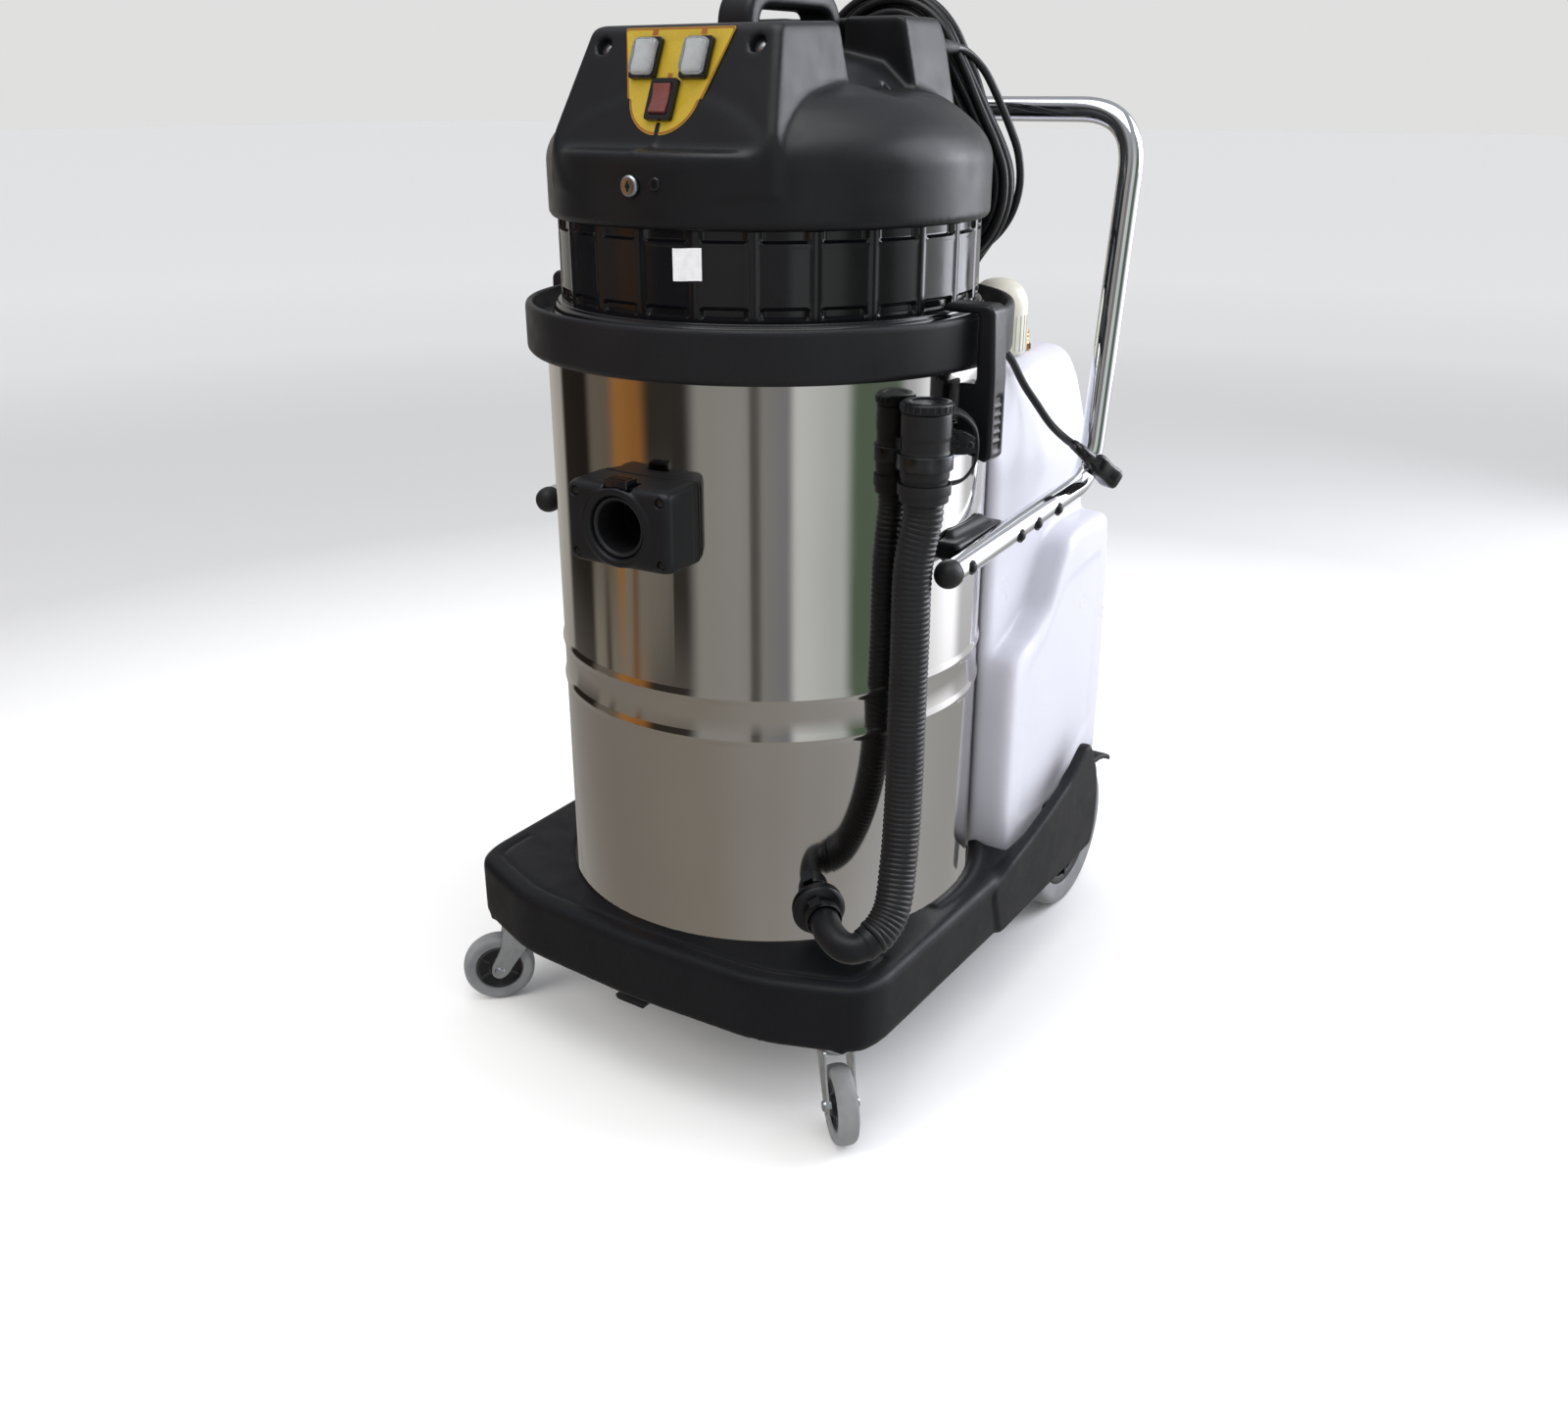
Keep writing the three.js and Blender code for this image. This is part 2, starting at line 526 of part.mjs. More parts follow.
// ---------- front casters ----------
const CASTER_FACETS = 18;
bothSides((side, word) => {
  const caster = new THREE.Group();
  caster.position.set(side * CASTER_X, CASTER_Y, 0);
  caster.rotation.z = side < 0 ? THREE.MathUtils.degToRad(-45) : THREE.MathUtils.degToRad(45);
  machine.add(caster);
  const reach = CASTER_WIDTH / 2 + 2;
  const legShape = outline([[-20, 95.6], [20, 95.6], [12, 80], [-CASTER_TRAIL + 9, CASTER_R - 6],
    [-CASTER_TRAIL, CASTER_R - 10],
    [-CASTER_TRAIL - 9, CASTER_R - 5], [-CASTER_TRAIL - 9, CASTER_R + 8]]);
  let fork = solid(rod(20, 92.5, 99.4, 14));
  fork = join(fork, rod(5.4, 90, 121, 12), alongX(legShape, -reach - 2.5, -reach),
    alongX(legShape, reach, reach + 2.5));
  fork = join(fork, rodX(4, -reach - 4, reach + 4, -CASTER_TRAIL, CASTER_R, 12));
  piece(`caster_fork_${word}`, fork, zinc, caster);
  const wheel = new THREE.Group();
  wheel.position.set(0, -CASTER_TRAIL, CASTER_R);
  caster.add(wheel);
  const w = CASTER_WIDTH / 2;
  const r = flatR(CASTER_R, CASTER_FACETS);
  piece(`caster_tyre_${word}`, wheelPiece([[26.5, -w + 2], [r - 4, -w], [r, -w + 6], [r, w - 6], [r - 4,
    w], [26.5, w - 2]], CASTER_FACETS, 0), tread, wheel);
  piece(`caster_hub_${word}`, wheelPiece([[4.6, -w + 0.5], [11, -w + 0.5], [13, -5], [23, -5], [26,
    -w + 2.5],
    [26, w - 2.5], [23, 5], [13, 5], [11, w - 0.5], [4.6, w - 0.5]], CASTER_FACETS, 0), moulded, wheel);
});

// ---------- side latches ----------
bothSides((side, word) => {
  const [px, pz] = LATCH_PIVOT;
  const flip = (g) => (side < 0 ? g.scale(-1, 1, 1) : g);
  const [y0, y1] = [LATCH_Y - LATCH_WIDE / 2, LATCH_Y + LATCH_WIDE / 2];
  const profile = [[225, 716], [225, 672], [234, 652], [255, 645], [261, 650], [261, 722], [258, 781],
    [252, 786], [212, 786],
    [206.5, 783], [206.5, 778.5], [214, 777.5], [242, 777.5], [242.5, 720], [240, 716]];
  const lever = cut(alongY(outline(profile), y0, y1), block(200, y0 - 1, 700, 239.9, y0 + 5, 760),
    alongY(outline([[px - 3.4, pz - 2], [px - 2, pz - 3.4], [px + 2, pz - 3.4], [px + 3.4, pz - 2],
      [px + 3.4, pz + 2],
      [px + 2, pz + 3.4], [px - 2, pz + 3.4], [px - 3.4, pz + 2]]), y0 - 1, y1 + 1));
  piece(`latch_${word}`, flip(geometryOf(lever)), moulded);
  const lug = [[205, 650], [238, 652], [250, 656], [250, 668], [238, 673], [205, 675]];
  const cheeks = join(alongY(outline(lug), y0 - 4.5, y0 - 0.6), alongY(outline(lug), y1 + 0.6, y1 + 4.5),
    block(205, y0 - 2, 650, 221.5, y1 + 2, 675));
  const pin = alongY(outline([[px - 2.7, pz], [px, pz - 2.7], [px + 2.7, pz], [px, pz + 2.7]]), y0 - 5.5,
    y1 + 5.5);
  piece(`latch_bracket_${word}`, flip(geometryOf(cut(join(cheeks, pin), drumTool(GAP)))), zinc);
});

// ---------- motor head ----------
piece('head_gasket', ring(201, 209, SEAT_Z + GAP, SEAT_Z + 3.3), rubber);
piece('head_flange', turned([[45, SEAT_Z + 3.6], [212.5, SEAT_Z + 3.6], [213, SEAT_Z + 8],
  [210, SEAT_Z + 11], [210, SEAT_Z + 15],
  [206.5, VENT_BOTTOM - GAP], [45, VENT_BOTTOM - GAP]]), glossy);

const NOTCHES = 12;
let vent = solid(turned([[VENT_R - 5, VENT_BOTTOM], [VENT_R, VENT_BOTTOM], [VENT_R, VENT_TOP - GAP],
  [VENT_R - 5, VENT_TOP - GAP]]));
for (let i = 0; i < NOTCHES; i += 1) {
  const angle = ((i + 0.5) / NOTCHES) * Math.PI * 2;
  for (const z of [VENT_BOTTOM + 8, VENT_TOP - 10]) {
    const notch = block(VENT_R - 30, -32, z - 2.5, VENT_R + 20, 32, z + 2.5).rotateZ(angle);
    vent = cut(vent, notch);
  }
}
piece('vent_ring', vent, glossy);

const domeLine = (inset) => [
  [0, VENT_TOP + (inset ? -1 : 0)], [HEAD_R - inset, VENT_TOP + (inset ? -1 : 0)], [HEAD_R - inset,
    SKIRT_TOP - inset / 2], [205 - inset, 921 - inset],
  [193 - inset, 934 - inset], [178 - inset, 946 - inset], [160 - inset, 958 - inset], [130 - inset,
    966 - inset], [0, DOME_TOP - inset],
];
/** What is cut off the dome in front of the console, so that its face runs down to the skirt. */
function frontCut(inset) {
  const drop = CONSOLE_TOP + 40 - 922;
  const foot = -133 - (CONSOLE_TOP - 922) * Math.tan(PANEL_LEAN) + inset;
  const side = [[-230, SKIRT_TOP - inset], [-211 + inset, SKIRT_TOP - inset], [foot, 922 - inset],
    [foot + drop * Math.tan(PANEL_LEAN), CONSOLE_TOP + 40],
    [-230, CONSOLE_TOP + 40]];
  return alongX(outline(side), -124 - inset, 124 + inset);
}

/** The console and the rear tower: a block with an inclined front, inside the skirt's circle. */
function tower(inset) {
  const yTop = -133 + inset;
  const drop = CONSOLE_TOP - inset - 880;
  const side = [[yTop, CONSOLE_TOP - inset], [yTop - drop * Math.tan(PANEL_LEAN), 880], [158 - inset, 880],
    [158 - inset, CONSOLE_TOP],
    [148 - inset, CONSOLE_TOP + 12 - inset], [60, CONSOLE_TOP + 12 - inset], [-40,
      CONSOLE_TOP + 3 - inset]];
  const wedge = [[-124 + inset, 860], [124 - inset, 860], [124 - inset, 911],
    [102 - inset, CONSOLE_TOP - 4 - inset], [96 - inset, 1040 - inset],
    [-96 + inset, 1040 - inset], [-102 + inset, CONSOLE_TOP - 4 - inset], [-124 + inset, 911]];
  const within = solid(rod(HEAD_R - inset, 860, 1100, ROUND));
  return solid(alongX(outline(side), -150, 150)).intersect(solid(alongY(outline(wedge), -250,
    250))).intersect(within);
}
/** A hand pocket beside the carry handle. */
function pocket(side, grow) {
  const [x0, x1] = [24 - grow, 160];
  const profile = [[x0, 1100], [x0, 996 - grow], [78, 984 - grow], [104, 962 - grow], [x1, 955 - grow],
    [x1, 1100]];
  return alongY(outline(profile.map(([x, z]) => [side * x, z])), -38 - grow, 78 + grow);
}
const GLAND_X = 84;
const GLAND_Z = 1001;
const roof = block(-32, -60, 1000, 32, 100, 1100);
let cover = cut(turned(domeLine(0)), frontCut(0)).add(tower(0));
cover = cut(cover, pocket(-1, 0), pocket(1, 0), roof);
let hollow = cut(turned(domeLine(4)), frontCut(4)).add(tower(4));
hollow = cut(hollow, pocket(-1, 4), pocket(1, 4), block(-36, -64, 996, 36, 104, 1100));
cover = cover.subtract(hollow).subtract(solid(block(-300, -300, 700, 300, 300, VENT_TOP)));
const PEG = [-14, 1015.5]; // x, z of the peg that carries the coiled cord
const pegRod = (radius, from, to) => at(rod(radius, from, to, 12).rotateX(-Math.PI / 2), PEG[0], 0, PEG[1]);
cover = join(cover, pegRod(8.5, 140, 250), pegRod(15, 248, 252));
const tilt = (geometry) => geometry.rotateX(Math.PI / 2 - PANEL_LEAN);
const PANEL_ORIGIN = [0, -154.5, 966.5];
const onPanel = (geometry, u, v, lift) => {
  const g = at(geometry, u, v, lift);
  return at(tilt(g), ...PANEL_ORIGIN);
};
const SWITCHES = { left: [-27, 20], right: [27, 20], pump: [0, -16] };
for (const [u, v] of Object.values(SWITCHES)) {
  cover = cut(cover, onPanel(new THREE.BoxGeometry(25, 33, 40), u, v, -2));
}
cover = cut(cover, at(rod(6.3, 195, 225, 12).rotateX(Math.PI / 2), 0, 0, 886),
  at(rod(5.6, 120, 200, 12).rotateX(-Math.PI / 2), GLAND_X, 0, GLAND_Z));
piece('head_cover', cover, moulded);

const grip = new THREE.CurvePath();
const gv = (y, z) => new THREE.Vector3(0, y, z);
grip.add(new THREE.LineCurve3(gv(-50, 1000.6), gv(-50, 1012)));
grip.add(new THREE.QuadraticBezierCurve3(gv(-50, 1012), gv(-50, 1040), gv(-20, 1040)));
grip.add(new THREE.LineCurve3(gv(-20, 1040), gv(60, 1040)));
grip.add(new THREE.QuadraticBezierCurve3(gv(60, 1040), gv(90, 1040), gv(90, 1012)));
grip.add(new THREE.LineCurve3(gv(90, 1012), gv(90, 1000.6)));
const gripSection = roundedRectangle(20, 38, 7);
piece('carry_handle', new THREE.ExtrudeGeometry(gripSection,
  { steps: 12, extrudePath: grip, bevelEnabled: false, curveSegments: 2 }), moulded);

// ---------- control panel ----------
const shield = new THREE.Shape();
shield.moveTo(-59, 48);
shield.lineTo(59, 48);
shield.lineTo(40, -14);
shield.absarc(0, -8, 38, -0.16, -Math.PI + 0.16, true);
shield.lineTo(-59, 48);
let plate = solid(onPanel(new THREE.ExtrudeGeometry(shield,
  { depth: 1.4, bevelEnabled: false, curveSegments: 14 }), 0, 0, GAP));
for (const [u, v] of Object.values(SWITCHES)) {
  plate = cut(plate, onPanel(new THREE.BoxGeometry(24.4, 32.4, 40), u, v, 0));
}
piece('control_panel', plate, panelYellow);
for (const [word, [u, v]] of Object.entries(SWITCHES)) {
  const body = join(new THREE.BoxGeometry(23.6, 31.6, 16).translate(0, 0, -5),
    new THREE.BoxGeometry(28, 36, 3).translate(0, 0, 3.6));
  const bezel = cut(body, new THREE.BoxGeometry(19, 27, 30).translate(0, 0, 9));
  piece(`switch_bezel_${word}`, onPanel(geometryOf(bezel), u, v, 0), moulded);
  const rockerShape = outline([[-12.6, 4], [12.6, 4], [12.2, 9.5], [0, 7], [-12.2, 8.2]]);
  const rocker = onPanel(at(alongX(rockerShape, -8.8, 8.8), 0, 0, 0), u, v, 0);
  piece(`rocker_${word}`, rocker, word === 'pump' ? rockerRed : bootClear);
}
piece('head_lock', at(turned([[0, 198], [5.8, 198], [5.8, HEAD_R + 0.6], [9.2, HEAD_R + 0.6],
  [9.2, HEAD_R + 3.5], [7, HEAD_R + 5], [0, HEAD_R + 5]], 16)
  .rotateX(Math.PI / 2), 0, 0, 886), zinc);

// ---------- inside the head ----------
bothSides((side, word) => {
  const body = [[0, VENT_BOTTOM + 1], [64, VENT_BOTTOM + 1], [64, 820], [48, 828], [48, 900], [40, 925],
    [0, 925]];
  piece(`motor_${word}`, at(turned(body, 20), side * 84, 10, 0), motorGrey);
});
const CAGE_BOTTOM = 652;
piece('float_cage', cut(turned([[12, CAGE_BOTTOM], [44, CAGE_BOTTOM], [44, SEAT_Z - 1], [58, SEAT_Z - 1],
  [58, SEAT_Z + 3.2],
  [22, SEAT_Z + 3.2], [22, SEAT_Z - 1], [36, SEAT_Z - 1], [36, CAGE_BOTTOM + 4], [12,
    CAGE_BOTTOM + 4]], 16),
  block(-60, -12, 668, 60, 12, 738), block(-12, -60, 668, 12, 60, 738)), moulded);
piece('float_ball', ball(24, 0, 0, CAGE_BOTTOM + 26, 14), floatWhite);

// ---------- mains cord ----------
const gland = turned([[0, 148], [5.2, 148], [5.2, 158.4], [10, 158.4], [10, 165], [7, 185], [5.5, 211],
  [0, 211]], 10);
piece('cord_gland', at(gland.rotateX(-Math.PI / 2), GLAND_X, 0, GLAND_Z), rubber);
const HANK = { x: 30, y: 229, z: 919, radius: 88, straight: 120, strand: 32, deep: 30, lean: 30 };
const loop = (radius) => roundedRectangle(2 * radius, HANK.straight + 2 * radius, radius - 0.5);
const hankShape = loop(HANK.radius);
hankShape.holes.push(loop(HANK.radius - HANK.strand));
const hank = alongY(hankShape, -HANK.deep / 2, HANK.deep / 2, { curveSegments: 6 });
piece('cord_hank', at(hank.rotateY(THREE.MathUtils.degToRad(-HANK.lean)), HANK.x, HANK.y, HANK.z), rubber);
const TAIL_ROUTE = [[88, 237.5, 774], [88.5, 235, 760], [94, 229, 748], [105, 221.5, 740], [120, 215, 735],
  [137, 211, 725],
  [153, 208.5, 711], [167, 207, 699], [184, 205, 675], [200, 208, 654],
  [216, 211, 634], [236, 206, 622], [249, 199, 618.5], [258.7, 196, 613.9], [262.1, 203.1, 607.9]];
piece('cord_tail', barAlong(smooth(TAIL_ROUTE), CORD_R, 8, 16), rubber);
const plugBody = new THREE.ExtrudeGeometry(roundedRectangle(26, 24, 6),
  { depth: 48, bevelEnabled: false, curveSegments: 2 });
const plug = piece('plug', plugBody, glossy);
plug.position.set(262.3, 203.5, 607.6);
plug.lookAt(new THREE.Vector3(282.3, 245.5, 572));

// ---------- origin at the middle of the footprint ----------
const FOOTPRINT_MIDDLE_Y = 83.4;
machine.position.y = -FOOTPRINT_MIDDLE_Y;
export default machine;
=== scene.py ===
"""Looks of the carpet cleaner machine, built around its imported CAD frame.

Shapes are written in millimetres round the drum's axis, with the front towards -Y, as in the CAD source.
"""
import math

import bmesh
import bpy
import numpy as np
from mathutils import Matrix, Vector


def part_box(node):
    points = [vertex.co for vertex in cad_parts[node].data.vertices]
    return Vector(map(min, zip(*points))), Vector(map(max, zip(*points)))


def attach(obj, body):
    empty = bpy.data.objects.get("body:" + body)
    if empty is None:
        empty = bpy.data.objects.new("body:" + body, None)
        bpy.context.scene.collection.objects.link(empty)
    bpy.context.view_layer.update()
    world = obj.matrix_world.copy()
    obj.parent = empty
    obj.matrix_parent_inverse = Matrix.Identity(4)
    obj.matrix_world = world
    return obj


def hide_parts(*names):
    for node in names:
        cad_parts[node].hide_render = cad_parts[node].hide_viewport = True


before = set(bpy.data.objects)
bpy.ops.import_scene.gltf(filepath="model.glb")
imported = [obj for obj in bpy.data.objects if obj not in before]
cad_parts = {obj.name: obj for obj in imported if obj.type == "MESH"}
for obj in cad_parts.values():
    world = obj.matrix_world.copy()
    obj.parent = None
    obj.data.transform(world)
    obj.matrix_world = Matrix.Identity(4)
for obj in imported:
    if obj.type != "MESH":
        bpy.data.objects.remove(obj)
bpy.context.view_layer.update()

MM = 0.001
DRUM_LOW, DRUM_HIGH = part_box("drum")
AXIS_Y = (DRUM_LOW.y + DRUM_HIGH.y) / 2  # the drum's axis in the row frame
DRUM_R = 220
SIDES = ((-1, "left"), (1, "right"))


# ---------- camera ----------
def row(point):
    """A point in millimetres round the drum's axis, in the row frame in metres."""
    return Vector((point[0] * MM, point[1] * MM + AXIS_Y, point[2] * MM))


camera = bpy.data.objects.new("camera", bpy.data.cameras.new("camera"))
bpy.context.scene.collection.objects.link(camera)
CAMERA_SPOT, LOOKS_ALONG = (832.7, -1239.2, 960), Vector((-0.50798, 0.77097, -0.38413))
camera.location = row(CAMERA_SPOT)
camera.rotation_mode = "QUATERNION"
camera.rotation_quaternion = LOOKS_ALONG.to_track_quat("-Z", "Y")
camera.data.lens = 33.75
camera.data.sensor_width = 36
bpy.context.scene.camera = camera


# ---------- shapes: (points, faces) in millimetres ----------
def joined(*shapes):
    points, faces = [], []
    start = 0
    for p, f in shapes:
        points.append(np.asarray(p, float))
        faces += [[i + start for i in face] for face in f]
        start += len(p)
    return np.vstack(points), faces


def placed(shape, matrix):
    m = np.array(matrix)
    p = np.asarray(shape[0], float)
    return p @ m[:3, :3].T + m[:3, 3], shape[1]


def moved(shape, x=0, y=0, z=0):
    return placed(shape, Matrix.Translation((x, y, z)))


def spun(shape, degrees, axis="Z"):
    return placed(shape, Matrix.Rotation(math.radians(degrees), 4, axis))


def ringed(shape, step, axis="Z"):
    """Copies of a shape round an axis, a step of degrees apart."""
    return [spun(shape, a, axis) for a in range(0, 360, step)]


def mirrored(shape):
    points = np.array(shape[0], float)
    points[:, 0] *= -1
    return points, [list(reversed(f)) for f in shape[1]]


def rounded(line, radius, steps=3, closed=True):
    """The same outline with its corners rounded."""
    points = [np.array(p, float) for p in line]
    count = len(points)
    out = []
    for i, p in enumerate(points):
        if not closed and i in (0, count - 1):
            out.append(p)
            continue
        before, after = points[i - 1] - p, points[(i + 1) % count] - p
        room = 0.45 * min(np.linalg.norm(before), np.linalg.norm(after))
        reach = min(radius, room)
        if reach < 0.05:
            out.append(p)
            continue
        a = p + before / np.linalg.norm(before) * reach
        b = p + after / np.linalg.norm(after) * reach
        for k in range(steps + 1):
            t = k / steps
            out.append((1 - t) ** 2 * a + 2 * t * (1 - t) * p + t * t * b)
    return [tuple(p) for p in out]


def ring_faces(segments, n, open_line=False):
    """Quads of lines of n points set round in a ring."""
    faces = []
    for i in range(segments):
        k = (i + 1) % segments
        for j in range(n - 1 if open_line else n):
            m = (j + 1) % n
            faces.append([i * n + j, k * n + j, k * n + m, i * n + m])
    return faces


def turned(profile, segments=96):
    """Revolves [radius, height] points about Z. The profile is a loop, or runs from axis to axis."""
    open_line = profile[0][0] == 0 and profile[-1][0] == 0
    n = len(profile)
    angles = np.arange(segments) / segments * 2 * math.pi
    r = np.array([p[0] for p in profile])
    z = np.array([p[1] for p in profile])
    points = np.stack([np.outer(np.cos(angles), r), np.outer(np.sin(angles), r),
        np.tile(z, (segments, 1))], -1)
    return points.reshape(-1, 3), ring_faces(segments, n, open_line)


def lathed(profile, radius, segments=96, steps=3):
    """A turned shape with the corners of its profile rounded."""
    axis_to_axis = profile[0][0] == 0 and profile[-1][0] == 0
    return turned(rounded(profile, radius, steps, closed=not axis_to_axis), segments)


def prism(outline, low, high, axis="z"):
    """An outline extruded along an axis: (x, y) along z, (y, z) along x, or (x, z) along y."""
    order = {"z": (0, 1, 2), "x": (1, 2, 0), "y": (0, 2, 1)}[axis]
    n = len(outline)
    points = np.zeros((2 * n, 3))
    for i, (u, v) in enumerate(outline):
        for j, w in enumerate((low, high)):
            points[i + j * n, order[0]] = u
            points[i + j * n, order[1]] = v
            points[i + j * n, order[2]] = w
    faces = [list(range(n)), list(range(n, 2 * n))]
    faces += [[i, (i + 1) % n, (i + 1) % n + n, i + n] for i in range(n)]
    return points, faces


def rectangle(width, height, radius=0.0, steps=3):
    w, h = width / 2, height / 2
    corners = [(-w, -h), (w, -h), (w, h), (-w, h)]
    return rounded(corners, radius, steps) if radius else corners


def brick(x0, y0, z0, x1, y1, z1):
    return prism([(x0, y0), (x1, y0), (x1, y1), (x0, y1)], z0, z1)


def band(outer, inner, low, high):
    """The wall between two outlines with as many points, from one height to another."""
    n = len(outer)
    points = [(u, v, z) for line in (outer, inner) for z in (low, high) for u, v in line]
    faces = []
    for i in range(n):
        k = (i + 1) % n
        faces += [[i, k, n + k, n + i], [2 * n + i, 3 * n + i, 3 * n + k, 2 * n + k]]
        faces += [[i, 2 * n + i, 2 * n + k, k], [n + i, n + k, 3 * n + k, 3 * n + i]]
    return points, faces


def twice(half):
    """A profile, and its reflection in height back to the other end."""
    return half + [(r, -h) for r, h in reversed(half)]


def circle(radius, sides):
    return [(radius * math.cos(a), radius * math.sin(a)) for a in np.arange(sides) / sides * 2 * math.pi]


def smooth_line(knots, step):
    """Points along a centripetal Catmull-Rom line, as in the CAD source, about a step apart."""
    p = np.array(knots, float)
    p = np.vstack([2 * p[0] - p[1], p, 2 * p[-1] - p[-2]])
    out = []
    for i in range(1, len(p) - 2):
        a, b, c, d = p[i - 1:i + 3]
        t = [0.0]
        for u, v in ((a, b), (b, c), (c, d)):
            t.append(t[-1] + max(np.linalg.norm(v - u), 1e-6) ** 0.5)
        count = max(2, int(np.linalg.norm(c - b) / step) + 1)
        for x in np.linspace(t[1], t[2], count, endpoint=False):
            a1 = ((t[1] - x) * a + (x - t[0]) * b) / (t[1] - t[0])
            a2 = ((t[2] - x) * b + (x - t[1]) * c) / (t[2] - t[1])
            a3 = ((t[3] - x) * c + (x - t[2]) * d) / (t[3] - t[2])
            b1 = ((t[2] - x) * a1 + (x - t[0]) * a2) / (t[2] - t[0])
            b2 = ((t[3] - x) * a2 + (x - t[1]) * a3) / (t[3] - t[1])
            out.append(((t[2] - x) * b1 + (x - t[1]) * b2) / (t[2] - t[1]))
    out.append(p[-2])
    return np.array(out)


def evenly(points, step):
    """The same line with points an even step apart, and its length."""
    p = np.array(points, float)
    along = np.concatenate([[0], np.cumsum(np.linalg.norm(np.diff(p, axis=0), axis=1))])
    count = max(2, int(round(along[-1] / step)) + 1)
    at = np.linspace(0, along[-1], count)
    return np.stack([np.interp(at, along, p[:, k]) for k in range(3)], -1), along[-1]


def wall_faces(rings, n):
    """Quads between rings of n points, one after another."""
    nexts = [(j, (j + 1) % n) for j in range(n)]
    return [[i * n + j, i * n + k, (i + 1) * n + k,
        (i + 1) * n + j] for i in range(rings - 1) for j, k in nexts]


def swept(points, section, sizes=None, up=(0, 0, 1)):
    """A section of (u, v) points swept along a line. sizes scales it at each point."""
    p = np.array(points, float)
    tangents = np.gradient(p, axis=0)
    tangents /= np.linalg.norm(tangents, axis=1)[:, None]
    side = np.cross(up, tangents[0])
    if np.linalg.norm(side) < 1e-3:
        side = np.cross((1, 0, 0), tangents[0])
    n = len(section)
    uv = np.array(section, float)
    rings = []
    for i, t in enumerate(tangents):
        side = side - t * side.dot(t)
        side /= np.linalg.norm(side)
        top = np.cross(t, side)
        size = 1 if sizes is None else sizes[i]
        rings.append(p[i] + size * (uv[:, :1] * side + uv[:, 1:] * top))
    faces = [list(range(n)), list(range((len(p) - 1) * n, len(p) * n))]
    return np.vstack(rings), faces + wall_faces(len(p), n)


def tube(points, radius, sides=16, sizes=None):
    return swept(points, circle(radius, sides), sizes)


# ---------- soft mouldings, from distance fields ----------
def grid(low, high, step):
    """Coordinates that broadcast against each other."""
    axes = [np.arange(a, b + step, step, dtype=np.float32) for a, b in zip(low, high)]
    x = axes[0][:, None, None]
    y = axes[1][None, :, None]
    z = axes[2][None, None, :]
    return x, y, z


def outline_distance(u, v, line):
    """Signed distance to a closed outline, negative inside."""
    u, v = np.broadcast_arrays(u, v)
    best = np.full(u.shape, 1e9, np.float32)
    inside = np.zeros(u.shape, bool)
    count = len(line)
    for i in range(count):
        (ax, ay), (bx, by) = line[i], line[(i + 1) % count]
        ex, ey = bx - ax, by - ay
        wx, wy = u - ax, v - ay
        t = np.clip((wx * ex + wy * ey) / max(ex * ex + ey * ey, 1e-9), 0, 1)
        best = np.minimum(best, (wx - ex * t) ** 2 + (wy - ey * t) ** 2)
        if ay != by:
            crosses = ((ay > v) != (by > v)) & (u < ex * (v - ay) / (by - ay) + ax)
            inside ^= crosses
    return np.where(inside, -np.sqrt(best), np.sqrt(best))


def both(a, b, soft=0.0):
    """Intersection, with a soft edge."""
    if soft == 0:
        return np.maximum(a, b)
    h = np.maximum(soft - np.abs(a - b), 0) / soft
    return np.maximum(a, b) + h * h * soft / 4


def either(a, b, soft=0.0):
    """Union, with a soft inner corner."""
    return -both(-a, -b, soft)


def less(a, b, soft=0.0):
    return both(a, -b, soft)


def span(v, low, high):
    return np.maximum(low - v, v - high)


def hypot(a, b):
    return np.sqrt(a * a + b * b)


def box_field(x, y, z, low, high, soft=0.0):
    field = both(span(x, low[0], high[0]), span(y, low[1], high[1]), soft)
    return both(field, span(z, low[2], high[2]), soft)


def skin(field, low, step):
    """Quads round a sampled field's zero level, one point in each cell that it crosses."""
    field = np.pad(field.astype(np.float32), 1, constant_values=step)
    low = np.array(low, float) - step
    inside = field < 0
    size = np.array(field.shape) - 1
    corners = [(i, j, k) for i in (0, 1) for j in (0, 1) for k in (0, 1)]
    total = sum(inside[i:i + size[0], j:j + size[1], k:k + size[2]].astype(np.int8) for i, j, k in corners)
    active = (total > 0) & (total < 8)
    cells = np.argwhere(active)
    index = np.full(tuple(size), -1, np.int64)
    index[active] = np.arange(len(cells))
    points = np.zeros((len(cells), 3))
    count = np.zeros(len(cells))
    for axis in range(3):
        others = [k for k in range(3) if k != axis]
        for u in (0, 1):
            for v in (0, 1):
                a = cells.copy()
                a[:, others[0]] += u
                a[:, others[1]] += v
                b = a.copy()
                b[:, axis] += 1
                fa, fb = field[tuple(a.T)], field[tuple(b.T)]
                crosses = (fa < 0) != (fb < 0)
                t = np.where(crosses, fa / np.where(crosses, fa - fb, 1), 0)
                p = a.astype(float)
                p[:, axis] += t
                points[crosses] += p[crosses]
                count[crosses] += 1
    points = low + step * points / count[:, None]
    faces = []
    for axis in range(3):
        u, v = (axis + 1) % 3, (axis + 2) % 3
        first = [slice(None)] * 3
        second = [slice(None)] * 3
        first[axis], second[axis] = slice(0, -1), slice(1, None)
        a, b = inside[tuple(first)], inside[tuple(second)]
        nodes = np.argwhere(a != b)
        filled = a[tuple(nodes.T)]
        around = []
        for du, dv in ((1, 1), (0, 1), (0, 0), (1, 0)):
            cell = nodes.copy()
            cell[:, u] -= du
            cell[:, v] -= dv
            around.append(index[tuple(cell.T)])
        quads = np.stack(around, -1)
        quads[~filled] = quads[~filled][:, ::-1]
        faces.append(quads)
    return points, np.vstack(faces)


